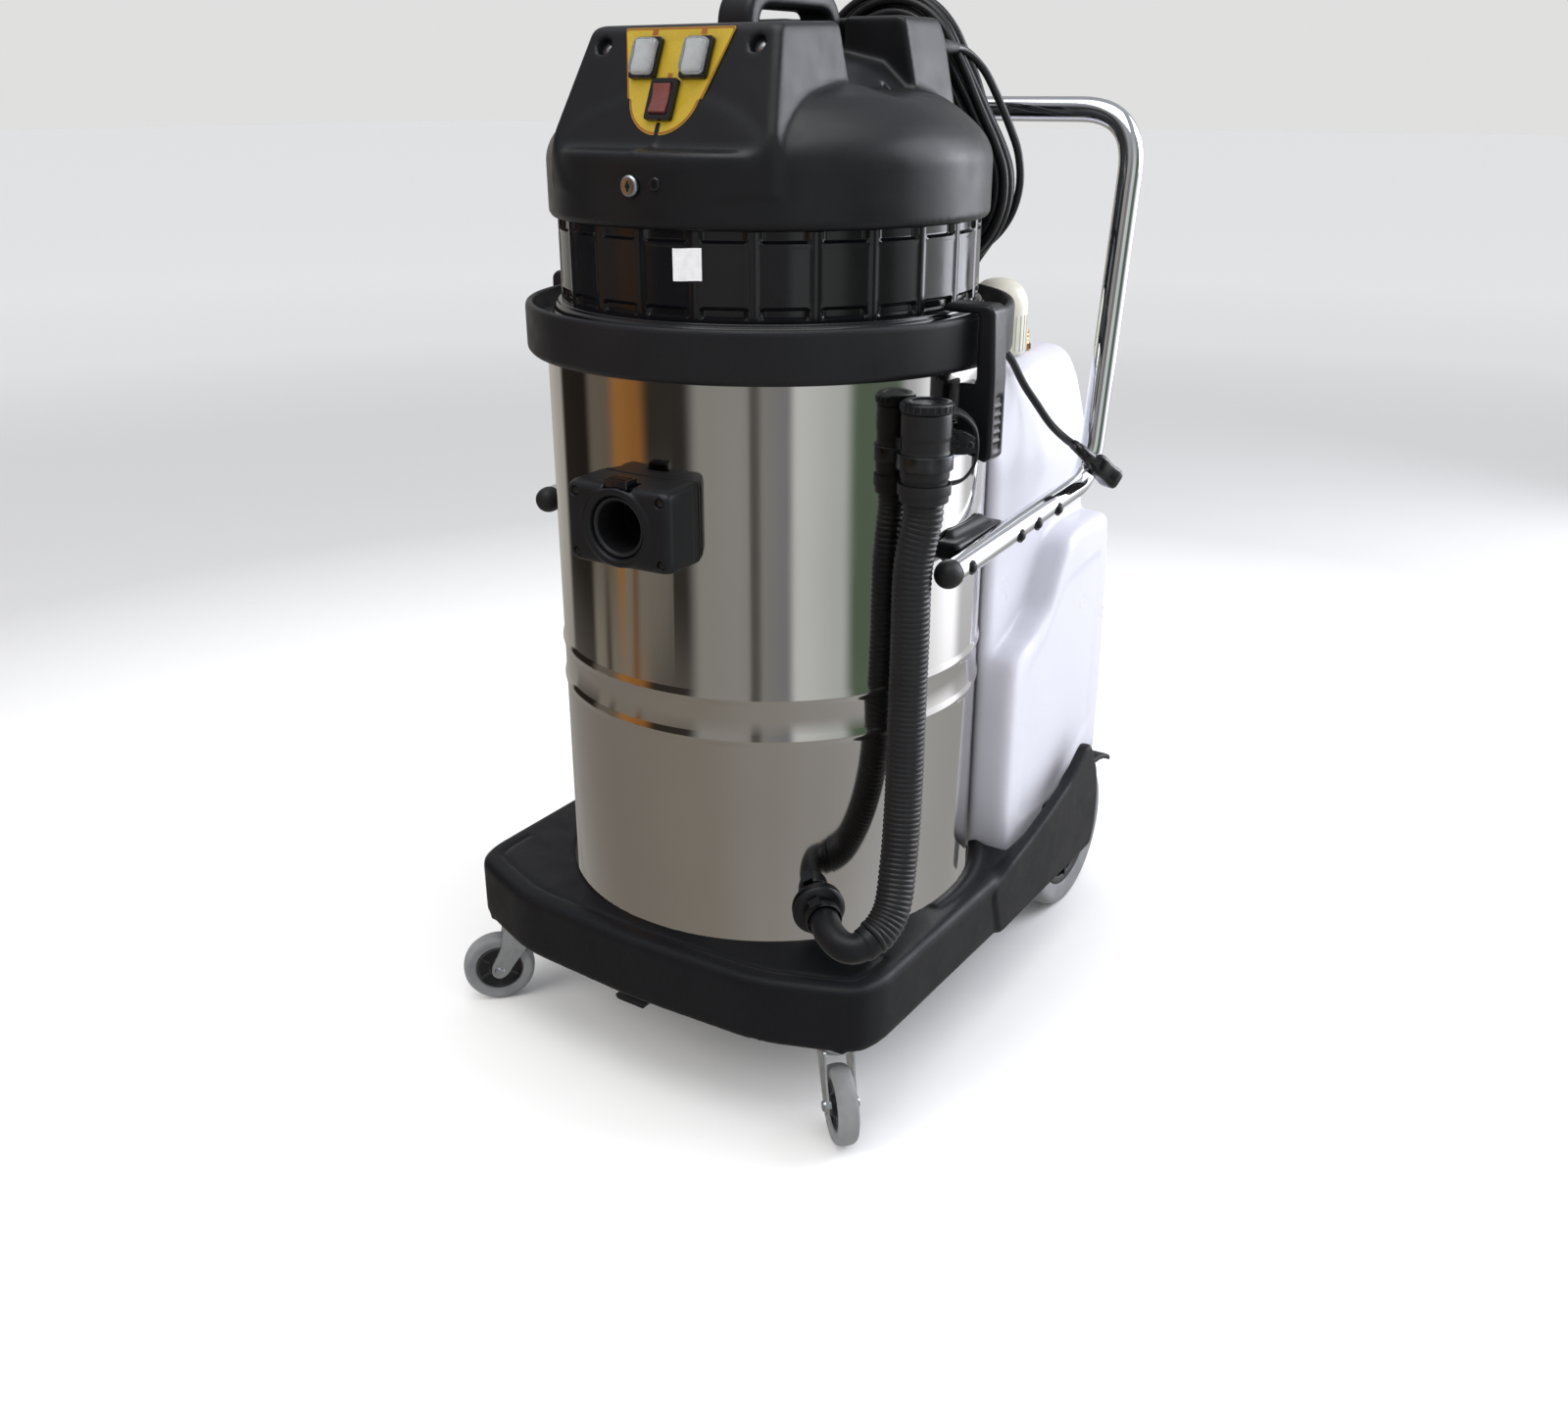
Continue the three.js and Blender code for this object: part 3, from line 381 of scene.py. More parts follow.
# ---------- objects ----------
def made(name, shape, relax=0):
    """An object with a clean mesh, from a shape in millimetres."""
    points, faces = shape
    mesh = bpy.data.meshes.new(name)
    metres = np.asarray(points, float) * MM
    metres[:, 1] += AXIS_Y
    mesh.from_pydata(metres.tolist(), [], faces.tolist() if isinstance(faces, np.ndarray) else faces)
    bm = bmesh.new()
    bm.from_mesh(mesh)
    bmesh.ops.remove_doubles(bm, verts=bm.verts, dist=2e-6)
    bmesh.ops.recalc_face_normals(bm, faces=bm.faces)
    for _ in range(relax):
        bmesh.ops.smooth_vert(bm, verts=bm.verts, factor=0.5, use_axis_x=True, use_axis_y=True,
            use_axis_z=True)
    bm.to_mesh(mesh)
    bm.free()
    obj = bpy.data.objects.new(name, mesh)
    bpy.context.scene.collection.objects.link(obj)
    return obj


def add(name, shape, material, body, stands_for=(), crease=38.0, bevel=0.0, rounds=2, relax=0):
    """A finished piece of the machine, and the CAD nodes that it stands for."""
    obj = made(name, shape, relax)
    obj.data.shade_smooth()
    if crease < 180 and not bevel:
        obj.data.set_sharp_from_angle(angle=math.radians(crease))
    obj.data.materials.append(material)
    if bevel:
        edges = obj.modifiers.new("edges", "BEVEL")
        edges.width = bevel * MM
        edges.segments = rounds
        edges.limit_method = "ANGLE"
        edges.angle_limit = math.radians(32)
        edges.harden_normals = True
    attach(obj, body)
    if stands_for:
        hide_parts(*([stands_for] if isinstance(stands_for, str) else stands_for))
    return obj


def bored(obj, cutter_shape):
    """Cuts a shape out of a piece."""
    cutter = made("cutter", cutter_shape)
    cut = obj.modifiers.new("cut", "BOOLEAN")
    cut.object = cutter
    cut.solver = "EXACT"
    graph = bpy.context.evaluated_depsgraph_get()
    result = bpy.data.meshes.new_from_object(obj.evaluated_get(graph))
    obj.modifiers.remove(cut)
    old, tool = obj.data, cutter.data
    obj.data = result
    bpy.data.meshes.remove(old)
    bpy.data.objects.remove(cutter)
    bpy.data.meshes.remove(tool)


# ---------- materials ----------
class Graph:
    """The nodes of a material or a world."""

    def __init__(self, owner):
        owner.use_nodes = True
        self.nodes, self.links = owner.node_tree.nodes, owner.node_tree.links

    def feed(self, socket, value):
        """Links an output to a socket, or sets the socket's constant."""
        if isinstance(value, bpy.types.NodeSocket):
            self.links.new(value, socket)
        else:
            socket.default_value = (*value, 1) if socket.type == "RGBA" else value

    def node(self, kind, inputs=(), **settings):
        node = self.nodes.new("ShaderNode" + kind)
        for key, value in settings.items():
            setattr(node, key, value)
        for key, value in inputs.items() if isinstance(inputs, dict) else enumerate(inputs):
            self.feed(node.inputs[key], value)
        return node

    def mix(self, factor, a, b):
        return self.node("Mix", {"Factor": factor, 6: a, 7: b}, data_type="RGBA").outputs[2]

    def ramp(self, value, stops, blend="EASE"):
        """A colour for each value, from rows of (position, red, green, blue)."""
        node = self.node("ValToRGB", [value])
        node.color_ramp.interpolation = blend
        elements = node.color_ramp.elements
        while len(elements) < len(stops):
            elements.new(0.5)
        for element, (position, *color) in zip(elements, stops):
            element.position, element.color = position, (*color, 1)
        return node.outputs["Color"]


def material(name, color, roughness, metallic=0.0, patches=0.08, patch_scale=14.0, grain=0.0,
    grain_scale=900.0, uneven=0.07, worn=0.0, **sockets):
    """A procedural finish: patchy colour and roughness, fine grain in the surface, and paler edges."""
    mat = bpy.data.materials.new(name)
    graph = Graph(mat)
    shader = graph.nodes["Principled BSDF"]
    shader.inputs["Metallic"].default_value = metallic
    for key, value in sockets.items():
        shader.inputs[key.replace("_", " ")].default_value = value
    where = graph.node("TexCoord").outputs["Object"]

    def noise(scale, detail=3.0):
        return graph.node("TexNoise", {"Vector": where, "Scale": scale, "Detail": detail}).outputs["Fac"]

    def ranged(value, low, high, new_low, new_high):
        limits = {"Value": value, "From Min": low, "From Max": high, "To Min": new_low, "To Max": new_high}
        return graph.node("MapRange", limits).outputs["Result"]

    dark = [c * (1 - patches) for c in color]
    light = [min(1, c * (1 + patches)) for c in color]
    tone = graph.mix(ranged(noise(patch_scale), 0.35, 0.65, 0, 1), dark, light)
    if worn:
        edge = graph.node("NewGeometry").outputs["Pointiness"]
        parts = ranged(edge, 0.53, 0.6, 0, worn), ranged(noise(90), 0.4, 0.6, 0.3, 1)
        broken = graph.node("Math", parts, operation="MULTIPLY")
        tone = graph.mix(broken.outputs[0], tone, [min(1, c * 1.5 + 0.05) for c in color])
    graph.feed(shader.inputs["Base Color"], tone)
    rough = ranged(noise(patch_scale * 2.3, 4.0), 0.3, 0.7, max(0.02, roughness - uneven),
        roughness + uneven)
    graph.feed(shader.inputs["Roughness"], rough)
    if grain:
        bump = {"Strength": grain, "Distance": 0.0004, "Height": noise(grain_scale, 2.0)}
        graph.feed(shader.inputs["Normal"], graph.node("Bump", bump).outputs["Normal"])
    return mat


MOULDED = material("satin_black_plastic", (0.0055, 0.006, 0.0078), 0.38, grain=0.25, grain_scale=1500,
    worn=0.25, Specular_IOR_Level=0.36)
CHARCOAL = material("charcoal_plastic", (0.0068, 0.0072, 0.0092), 0.45, grain=0.35, grain_scale=1300,
    worn=0.3, Specular_IOR_Level=0.38)
GLOSS = material("glossy_black_plastic", (0.005, 0.0052, 0.0065), 0.15, grain=0.05,
    grain_scale=300, uneven=0.05)
BASE = material("base_polyethylene", (0.0055, 0.006, 0.008), 0.45, grain=0.5, grain_scale=700, worn=0.12,
    Specular_IOR_Level=0.22)
STEEL = material("polished_stainless", (0.62, 0.605, 0.585), 0.07, 1.0, patches=0.03, patch_scale=5,
    grain=0.04, grain_scale=9, uneven=0.03)
CHROME = material("chrome_plate", (0.75, 0.76, 0.78), 0.06, 1.0, patches=0.03, uneven=0.03)
ZINC = material("zinc_plate", (0.5, 0.53, 0.56), 0.32, 1.0, patches=0.12, patch_scale=60,
    grain=0.2, uneven=0.1)
DIM_ZINC = material("dark_zinc", (0.075, 0.08, 0.085), 0.36, 1.0, patches=0.2, patch_scale=60,
    grain=0.2, uneven=0.1)
BRASS = material("plain_brass", (0.6, 0.36, 0.17), 0.28, 1.0, patches=0.15, patch_scale=80)
RUBBER = material("black_rubber", (0.0075, 0.0078, 0.009), 0.48, grain=0.35, grain_scale=1100, uneven=0.1)
HOSE = material("hose_rubber", (0.0075, 0.0078, 0.0095), 0.38, patches=0.15, patch_scale=25,
    uneven=0.1, worn=0.2)
SHEATH = material("cable_sheath", (0.007, 0.0075, 0.009), 0.36, patches=0.15, patch_scale=40, uneven=0.08)
TREAD = material("grey_tread", (0.2, 0.205, 0.21), 0.55, patches=0.14, patch_scale=35, grain=0.3, worn=0.2)
TANK = material("natural_polyethylene", (0.68, 0.68, 0.75), 0.34, patches=0.015, patch_scale=7, grain=0.12,
    grain_scale=260, Subsurface_Weight=0.25, Subsurface_Radius=(0.02, 0.018, 0.022), Subsurface_Scale=0.5)
CREAM = material("cream_polyethylene", (0.72, 0.7, 0.6), 0.38, patches=0.03, grain=0.1, grain_scale=400,
    Subsurface_Weight=0.15, Subsurface_Scale=0.01)
YELLOW = material("yellow_panel", (0.37, 0.255, 0.017), 0.3, patches=0.05, patch_scale=40, grain=0.06)
ORANGE = material("orange_print", (0.22, 0.075, 0.008), 0.35, patches=0.1, patch_scale=60)
BOOT = material("clear_boot", (0.75, 0.78, 0.8), 0.09, patches=0.03, Transmission_Weight=0.85, IOR=1.4)
WHITE = material("white_rocker", (0.45, 0.455, 0.46), 0.3, patches=0.06, patch_scale=70)
RED = material("dark_red_rocker", (0.14, 0.042, 0.036), 0.22, patches=0.12, patch_scale=50)
LABEL = material("blank_label", (0.72, 0.72, 0.74), 0.45, patches=0.06, patch_scale=120, grain=0.1)
MOTOR = material("grey_motor", (0.16, 0.17, 0.18), 0.45, 0.6, patches=0.1, grain=0.2)
FLOAT = material("white_float", (0.7, 0.68, 0.62), 0.45, patches=0.04, grain=0.1)
# Painted shade: a near-black finish put where there is only shade, in the inlet's bore, inside the vent
# wall and in the lock's keyway.
PAINTED_SHADE = material("painted_shade_hollow", (0.004, 0.004, 0.004), 0.9, patches=0.2)


# ---------- mains cord ----------
CORD = 8.4  # diameter
GLAND_TIP = (84, 211, 1001)
HANK_MIDDLE = np.array((30.0, 229.0, 919.0))
HANK_LEAN = math.radians(30)
HANK_HALF = 60  # half of a turn's straight stretch
COLUMNS = (63.2, 73.4, 83.6)  # radii of the turns
ROWS = (219.6, 229.0, 238.4)  # their places along Y
TURNS = [(0, 2), (1, 2), (1, 1), (0, 1), (0, 0), (1, 0), (2, 0), (2, 1), (2, 2)]
TAIL_ROUTE = [[88, 237.5, 774], [88.5, 235, 760], [94, 229, 748], [105, 221.5, 740], [120, 215, 735],
    [137, 211, 725], [153, 208.5, 711], [167, 207, 699], [184, 205, 675], [200, 208, 654], [216, 211, 634],
    [236, 206, 622], [249, 199, 618.5], [258.7, 196, 613.9], [262.1, 203.1, 607.9]]


def on_hank(turn_part, radius, y):
    """A point of the coiled cord: 0 is the middle of the right straight, going down, and 1 a full turn."""
    arc = math.pi * COLUMNS[1]
    whole = 4 * HANK_HALF + 2 * arc
    s = (turn_part % 1) * whole
    if s < HANK_HALF:
        a, b = radius, -s
    elif s < HANK_HALF + arc:
        angle = (s - HANK_HALF) / arc * math.pi
        a, b = radius * math.cos(angle), -HANK_HALF - radius * math.sin(angle)
    elif s < 3 * HANK_HALF + arc:
        a, b = -radius, -HANK_HALF + (s - HANK_HALF - arc)
    elif s < 3 * HANK_HALF + 2 * arc:
        angle = (s - 3 * HANK_HALF - arc) / arc * math.pi
        a, b = -radius * math.cos(angle), HANK_HALF + radius * math.sin(angle)
    else:
        a, b = radius, HANK_HALF - (s - 3 * HANK_HALF - 2 * arc)
    x = HANK_MIDDLE[0] + a * math.cos(HANK_LEAN) - b * math.sin(HANK_LEAN)
    z = HANK_MIDDLE[2] + a * math.sin(HANK_LEAN) + b * math.cos(HANK_LEAN)
    return [x, y, z]


HANK_START, KNOTS_PER_TURN = 0.03, 28  # the start, in turns past the middle of the right straight
FIRST_SHIFT_TO, SHIFT_FROM = 0.42, 0.72  # parts of a turn
HANK_END = 0.228  # part of the last turn, at the bottom of the hank


def cord_route():
    """Knots from the gland, round the hank's turns from its outside in and out again, and down the tail."""
    knots = [[84, 211, 1001], [84, 215, 1001], [85.5, 227.2, 999.1], [89.7, 237.6, 993.5],
        [96, 244.6, 985.3], [103.5, 247, 975.6]]
    slots = [(93.5, 247.3), (63.2, 248.2)] + [(COLUMNS[c], ROWS[r]) for c, r in TURNS]
    last = len(slots) - 1
    whole = last + HANK_END - HANK_START
    steps = int(whole * KNOTS_PER_TURN)
    for i in range(1, steps + 1):
        t = HANK_START + whole * i / steps
        k = min(int(t), last)
        part = t - k
        a, b = slots[k], slots[min(k + 1, last)]
        blend = min(1, part / FIRST_SHIFT_TO) if k == 0 else max(0, (part - SHIFT_FROM) / (1 - SHIFT_FROM))
        blend = blend * blend * (3 - 2 * blend)
        radius = a[0] + (b[0] - a[0]) * blend
        y = a[1] + (b[1] - a[1]) * blend
        fade = min(1, (last - 0.8 - t) / 0.3 if t > last - 1.1 else 1)
        wave = 0.9 * math.sin(7 * t + 1.3 * k) * fade
        knots.append(on_hank(t, radius + wave, y + 0.35 * wave))
    return knots + TAIL_ROUTE


def curve_piece(name, points, radius, finish, body):
    """A round cord as one open smooth curve."""
    data = bpy.data.curves.new(name, "CURVE")
    data.dimensions = "3D"
    spline = data.splines.new("POLY")
    spline.points.add(len(points) - 1)
    for knot, point in zip(spline.points, points):
        knot.co = (*row(point), 1)
    data.bevel_depth = radius * MM
    data.bevel_resolution = 3
    data.use_fill_caps = True
    data.materials.append(finish)
    obj = bpy.data.objects.new(name, data)
    bpy.context.scene.collection.objects.link(obj)
    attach(obj, body)
    return obj


def eased(line, first, last, times):
    """The line with one stretch of its knots drawn towards their neighbours, for an easier bend."""
    pull = 0.45 * np.sin(np.linspace(0, math.pi, last - first))[:, None] ** 2
    for _ in range(times):
        towards = line[first - 1:last - 1] + line[first + 1:last + 1] - 2 * line[first:last]
        line[first:last] += pull * towards
    return line


whole_line = np.array([tuple(p) for p in evenly(smooth_line(cord_route(), 4), 6)[0]], float)
EASE_FROM, EASE_TO, EASE_TIMES = 68, 22, 22  # the first two are knots before the line's end
whole_line = eased(whole_line, len(whole_line) - EASE_FROM, len(whole_line) - EASE_TO, EASE_TIMES)
NECK_KNOTS = 5  # the last knots lie inside the plug's moulded neck
cord_line = whole_line[:1 - NECK_KNOTS]
mains_cord = curve_piece("mains_cord", cord_line, CORD / 2, SHEATH, "head")
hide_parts("cord_hank", "cord_tail")

PLUG_AT = np.array((262.3, 203.5, 607.6))
PLUG_TO = np.array((282.3, 245.5, 572.0))
plug_axis = Vector(PLUG_TO - PLUG_AT).normalized()
PLUG_FRAME = Matrix.Translation(PLUG_AT) @ plug_axis.to_track_quat("Z", "Y").to_matrix().to_4x4()


def plug_body():
    """A moulded plug without its pins: a tapered neck, and a block with waisted grips."""
    stations = [(0, 0.42), (4, 0.5), (9, 0.86), (13, 0.98), (20, 1.0), (26, 0.93), (33, 0.93), (40, 1.0),
        (45, 1.0), (48, 0.93)]
    return swept([(0, 0, z) for z, _ in stations], rectangle(24, 22, 7, 5),
        [s for _, s in stations], up=(0, 1, 0))


inside_plug = [tuple(PLUG_AT + reach * np.array(plug_axis)) for reach in (5, 11)]
neck_line = smooth_line([tuple(p) for p in whole_line[-NECK_KNOTS:-1]] + inside_plug, 3)
neck_size = [1 + 0.55 * i / (len(neck_line) - 1) + 0.05 * (i % 2) for i in range(len(neck_line))]
neck = swept(neck_line, circle(5.0, 20), neck_size)
plug = add("mains_plug", joined(placed(plug_body(), PLUG_FRAME), neck), GLOSS, "head",
    "plug", crease=60)
gland_line = rounded([(0, 148), (5.2, 148), (5.2, 158.4), (10, 158.4), (10, 165), (8, 170), (7.4, 186),
    (5.4, 210.9), (4.4, 210.9), (0, 210.9)], 0.8, 2, closed=False)
gland_shape = spun(turned(gland_line, 32), -90, "X")


def gland_ring(y):
    reach = 9.2 - 0.045 * (y - 168) * 2
    ring = lathed([(5, -1.2), (reach, -1.2), (reach, 1.2), (5, 1.2)], 0.5, 32, 2)
    return moved(spun(ring, -90, "X"), 0, y, 0)


relief = joined(gland_shape, *[gland_ring(y) for y in range(176, 201, 6)])
add("cord_relief", moved(relief, GLAND_TIP[0], 0, GLAND_TIP[2]), RUBBER, "head", "cord_gland")


def tie_band():
    """A strap round the coil's left straight."""
    along = Vector((math.sin(HANK_LEAN), 0, -math.cos(HANK_LEAN))).to_track_quat("Z", "Y")
    matrix = Matrix.Translation(on_hank(0.5, COLUMNS[1], ROWS[1])) @ along.to_matrix().to_4x4()
    return placed(band(rectangle(34.5, 32.5, 9, 5), rectangle(31.5, 29.5, 8, 5), -8, 8), matrix)


cord_tie = add("cord_tie", tie_band(), RUBBER, "head", crease=50)

# ---------- drain hose ----------
HOSE_R = 18.5
HOSE_END = np.array((228.0, -168.0, 201.5))
HOSE_HEADING = np.array((0.36, 0.82, 0.44))
HOSE_HEADING /= np.linalg.norm(HOSE_HEADING)
CUFF_SPOT = (227.5, -92.5)
HOSE_KNOTS = [HOSE_END + HOSE_HEADING, HOSE_END + 10 * HOSE_HEADING, (235, -143, 222), (231, -124, 262),
    (226, -109, 320), (223, -102, 402), (222, -99, 485), (222, -97.5, 560), (227.5, -92.5, 606),
    (227.5, -92.5, 619.4)]
HOSE_STEP, RIB_PITCH = 0.7, 5.2
hose_line, hose_length = evenly(smooth_line(HOSE_KNOTS, 2), HOSE_STEP)
rib_turns = [2 * math.pi * i * HOSE_STEP / RIB_PITCH for i in range(len(hose_line))]
rib_sizes = [1 - 0.055 * (0.5 + 0.5 * math.cos(turn)) ** 1.5 for turn in rib_turns]
drain_hose = add("ribbed_drain_hose", tube(hose_line, HOSE_R, 28, rib_sizes), HOSE, "chassis",
    "drain_hose", crease=180)
cuff_line = rounded([(17, 620), (22.4, 620), (22.4, 630), (21.2, 633), (21.2, 640), (22.4, 643),
    (22.4, 664), (21.4, 667), (21.4, 676), (22.5, 679), (22.5, 700), (17.5, 700), (17.5, 628),
    (17, 628)], 1.2)
cuff = add("drain_cuff", moved(turned(cuff_line, 48), *CUFF_SPOT, 0), RUBBER, "chassis",
    "hose_cuff")


# ---------- wheeled base ----------
WHEEL_R, WHEEL_X, WHEEL_Y = 95, 208, 340
CASTER_X, CASTER_Y, CASTER_TRAIL = 208, -200, 28
PLAN = [(-150, -256), (0, -263.5), (150, -256), (221, -229), (246, -216), (255, -188), (259, 60),
    (255, 234), (184, 234), (184, 376), (-184, 376), (-184, 234), (-255, 234), (-259, 60), (-255, -188),
    (-246, -216), (-221, -229)]
FAIRING = [(40, 160), (80, 178), (133, 188), (185, 200), (239, 216), (284, 244), (294, 244), (318, 205),
    (327, 165), (326, 125), (316, 100), (60, 100)]


def base_shape():
    low, step = (-266, -270, 74), 2.6
    x, y, z = grid(low, (266, 392, 250), step)
    plan = outline_distance(x, y, rounded(PLAN, 26, 5))
    field = both(plan, span(z, 100, 174), 12)
    side = np.abs(x)

    def caster_pad(bottom, top):
        reach = 24
        low_corner = (CASTER_X - reach, CASTER_Y - reach, bottom)
        return box_field(side, y, z, low_corner, (CASTER_X + reach, CASTER_Y + reach, top))

    axle = hypot(y - WHEEL_Y, z - WHEEL_R)
    fairing = both(outline_distance(y, z, rounded(FAIRING, 9)), span(side, 247, 262), 5)
    field = either(field, fairing, 5)
    arch = both(axle - 108, span(side, 183, 250), 4)
    arch = both(arch, both(y - 400, 118 - z))
    field = either(field, arch, 6)
    field = either(field, box_field(side, y, z, (120, 318, 78), (183, 362, 150), 3), 4)
    field = either(field, caster_pad(100, 140))
    hollow = both(outline_distance(x, y, [(u * 0.975, v * 0.975) for u, v in PLAN]), span(z, 60, 129), 4)
    blocks = box_field(side, y, z, (120, 318, 70), (190, 362, 160))
    field = less(field, less(less(hollow, caster_pad(90, 160)), blocks), 2)
    well = both(axle - 102, span(side, 187, 249), 2)
    field = less(field, well, 2)
    r = hypot(x, y)
    ridge = both(np.abs(r - 232) - 5, span(z, 165, 177.5), 5)
    field = either(field, both(ridge, -y - 40, 4), 4)  # a raised edge round the drum's seat
    field = less(field, both(r - 222.4, 134.7 - z), 3)
    field = less(field, both(span(side, -1, 184.3), both(span(y, 100, 371), 150.7 - z)), 3)
    field = less(field, both(span(side, -1, 236), both(span(y, 118, 236), 150.7 - z)), 3)
    field = less(field, box_field(x, y, z, (-74, 274, 90), (82, 326, 143)))
    groove = both(np.abs(plan + 22) - 1.6, 172.2 - z)
    field = less(field, both(groove, y + 150), 2)
    field = less(field, both(axle - 8.6, -side))
    field = less(field, both(hypot(side - CASTER_X, y - CASTER_Y) - 6.2, z - 124))
    return skin(field, low, step)


add("base_moulding", base_shape(), BASE, "chassis", "base_tray", crease=180, relax=1)
lip = [(-17, 95.5), (17, 95.5), (20, 101), (-20, 101)]
add("front_lip", prism(rounded(lip, 2), -262, -246, "y"), BASE, "chassis", bevel=1)

# ---------- drum ----------
drum_profile = [(0, 135), (212, 135), (217.5, 137.5), (220, 143)]
BEAD = [(220, -7), (220.3, -5), (221.4, -2.2), (221.8, 0), (221.4, 2.2), (220.3, 5), (220, 7)]
for bead_z in (390, 432):
    drum_profile += [(r, bead_z + dz) for r, dz in BEAD]
drum_profile += [(220, 727), (217.6, 727), (217.6, 145), (209.5, 138), (0, 138)]
INLET_TURN, INLET_Z = 2.8, 602
OUTLET_TURN, OUTLET_Z = -44.0, 205
PORT_R = 25


def facing_front(shape):
    """From up Z to the inlet's direction, at its height."""
    return moved(spun(spun(shape, 90, "X"), INLET_TURN), 0, 0, INLET_Z)


def towards_outlet(shape):
    return moved(spun(spun(shape, 90, "Y"), OUTLET_TURN), 0, 0, OUTLET_Z)


drum = add("drum_shell", turned(drum_profile, 192), STEEL, "chassis", "drum")
bored(drum, facing_front(prism(circle(PORT_R + 1, 40), 180, 240)))
seam = [(math.radians(a), r) for a, r in ((100, 220.05), (100.25, 220.5), (100.9, 220.5), (101.15, 220.05))]
add("drum_seam", prism([(r * math.cos(a), r * math.sin(a)) for a, r in seam], 146, 726), STEEL, "chassis",
    bevel=0.15)

# ---------- rim ring ----------
RIM = [(213, 693), (217.1, 693), (217.1, 727.4), (235, 727.4), (239, 732), (239, 771), (237, 775),
    (232, 775), (228, 757.6), (199, 757), (199, 752), (213, 748)]
add("rim_moulding", lathed(RIM, 2.2, 160), CHARCOAL, "chassis", "rim_ring")

# ---------- hose inlet ----------
INLET_SCREWS = [(sx, sz) for sx in (-46, 46) for sz in (-28, 28)]


def inlet_shape():
    low, step = (-62, 186, -43), 1.1
    x, d, z = grid(low, (62, 270, 43), step)
    field = box_field(x, d, z, (-57, 190, -38), (57, 266, 38), 11)
    taper = both(field, np.abs(x) - 57 + (266 - d) * 0.02, 4)
    field = less(taper, both(span(np.abs(x), 53.5, 80), span(d, 0, 224)), 2)
    radius = hypot(x, z)
    rim = both(np.abs(radius - 33) - 3.2, span(d, 262, 268), 3)
    field = either(field, rim, 3)
    field = less(field, both(radius - (PORT_R + 3.4), -d), 2.5)
    field = less(field, hypot(x, d) - (DRUM_R + 0.35))
    notch = box_field(x, d, z, (-15, 244, 32), (15, 264, 60), 2)
    field = less(field, notch, 1.5)
    for sx, sz in INLET_SCREWS:
        field = less(field, both(hypot(x - sx, z - sz) - 4.2, 262.5 - d), 1)
    return placed(skin(field, low, step), Matrix.Scale(-1, 4, (0, 1, 0)))


add("inlet_moulding", moved(spun(inlet_shape(), INLET_TURN), 0, 0, INLET_Z), MOULDED, "chassis",
    "inlet_housing", crease=180, relax=1)
screw_head = lathed([(0, 0), (3.6, 0), (3.4, 1.8), (0, 2.2)], 0.5, 20, 2)
screws = [moved(screw_head, sx, -sz, 262) for sx, sz in INLET_SCREWS]
add("inlet_screws", facing_front(joined(*screws)), DIM_ZINC, "chassis")
seal_line = [(23.5, 221), (28.1, 221), (28.1, 263), (26, 264.5), (23.5, 262)]
add("inlet_seal_ring", facing_front(lathed(seal_line, 1.2, 48)), RUBBER, "chassis", "inlet_seal")
# Painted shade: a near-black tube and disc close the inlet's bore, standing in for the shade down the hole.
add("inlet_throat_painted_shade", facing_front(turned([(22.8, 160), (23.4, 160), (23.4, 222), (22.8, 222)], 40)),
    PAINTED_SHADE, "chassis")
add("inlet_end_painted_shade", facing_front(turned([(0, 160), (23.3, 160), (23.3, 161), (0, 161)], 40)), PAINTED_SHADE,
    "chassis")
button = prism(rectangle(25.6, 16.6, 2.5), 0, 7.5)
grips = [moved(prism(rectangle(20, 1.4, 0.5), 7.2, 8.2), 0, v, 0) for v in (-4.5, -1.5, 1.5, 4.5)]
add("inlet_release", moved(joined(button, *grips), 11, -254.5, INLET_Z + 35.4), GLOSS, "inlet_button",
    "inlet_button", bevel=0.7)

# ---------- drain elbow and clamp ----------
def outlet_point(distance, z):
    a = math.radians(OUTLET_TURN)
    return (distance * math.cos(a), distance * math.sin(a), z)


elbow_knots = [outlet_point(219, OUTLET_Z), outlet_point(246, OUTLET_Z), outlet_point(262, 203),
    (207, -189, 198), (218, -185, 196), tuple(HOSE_END - 8 * HOSE_HEADING), tuple(HOSE_END)]
elbow_line, _ = evenly(smooth_line(elbow_knots, 3), 2.5)
elbow_sizes = [1.0] * (len(elbow_line) - 5) + [1.12] * 5  # a bead at the hose's end
elbow_plate = lathed([(0, 219.6), (27, 219.6), (27, 223), (23, 226.5), (17, 228), (0, 228)], 1.5, 48, 2)
add("elbow_moulding", joined(towards_outlet(elbow_plate), tube(elbow_line, 15, 28, elbow_sizes)), MOULDED,
    "chassis", "drain_elbow", crease=50)
clamp_band = lathed([(16.6, 233), (18.2, 233), (18.2, 244), (16.6, 244)], 0.5, 48, 2)
clamp_slots = ringed(brick(17.9, -1.1, 234.6, 18.7, 1.1, 242.4), 12)
clamp = joined(clamp_band, *clamp_slots, brick(17.5, -6, 232.6, 22, 6, 244.4))
add("worm_clamp", towards_outlet(spun(clamp, 205)), DIM_ZINC, "chassis", "hose_clamp",
    bevel=0.25, rounds=1)

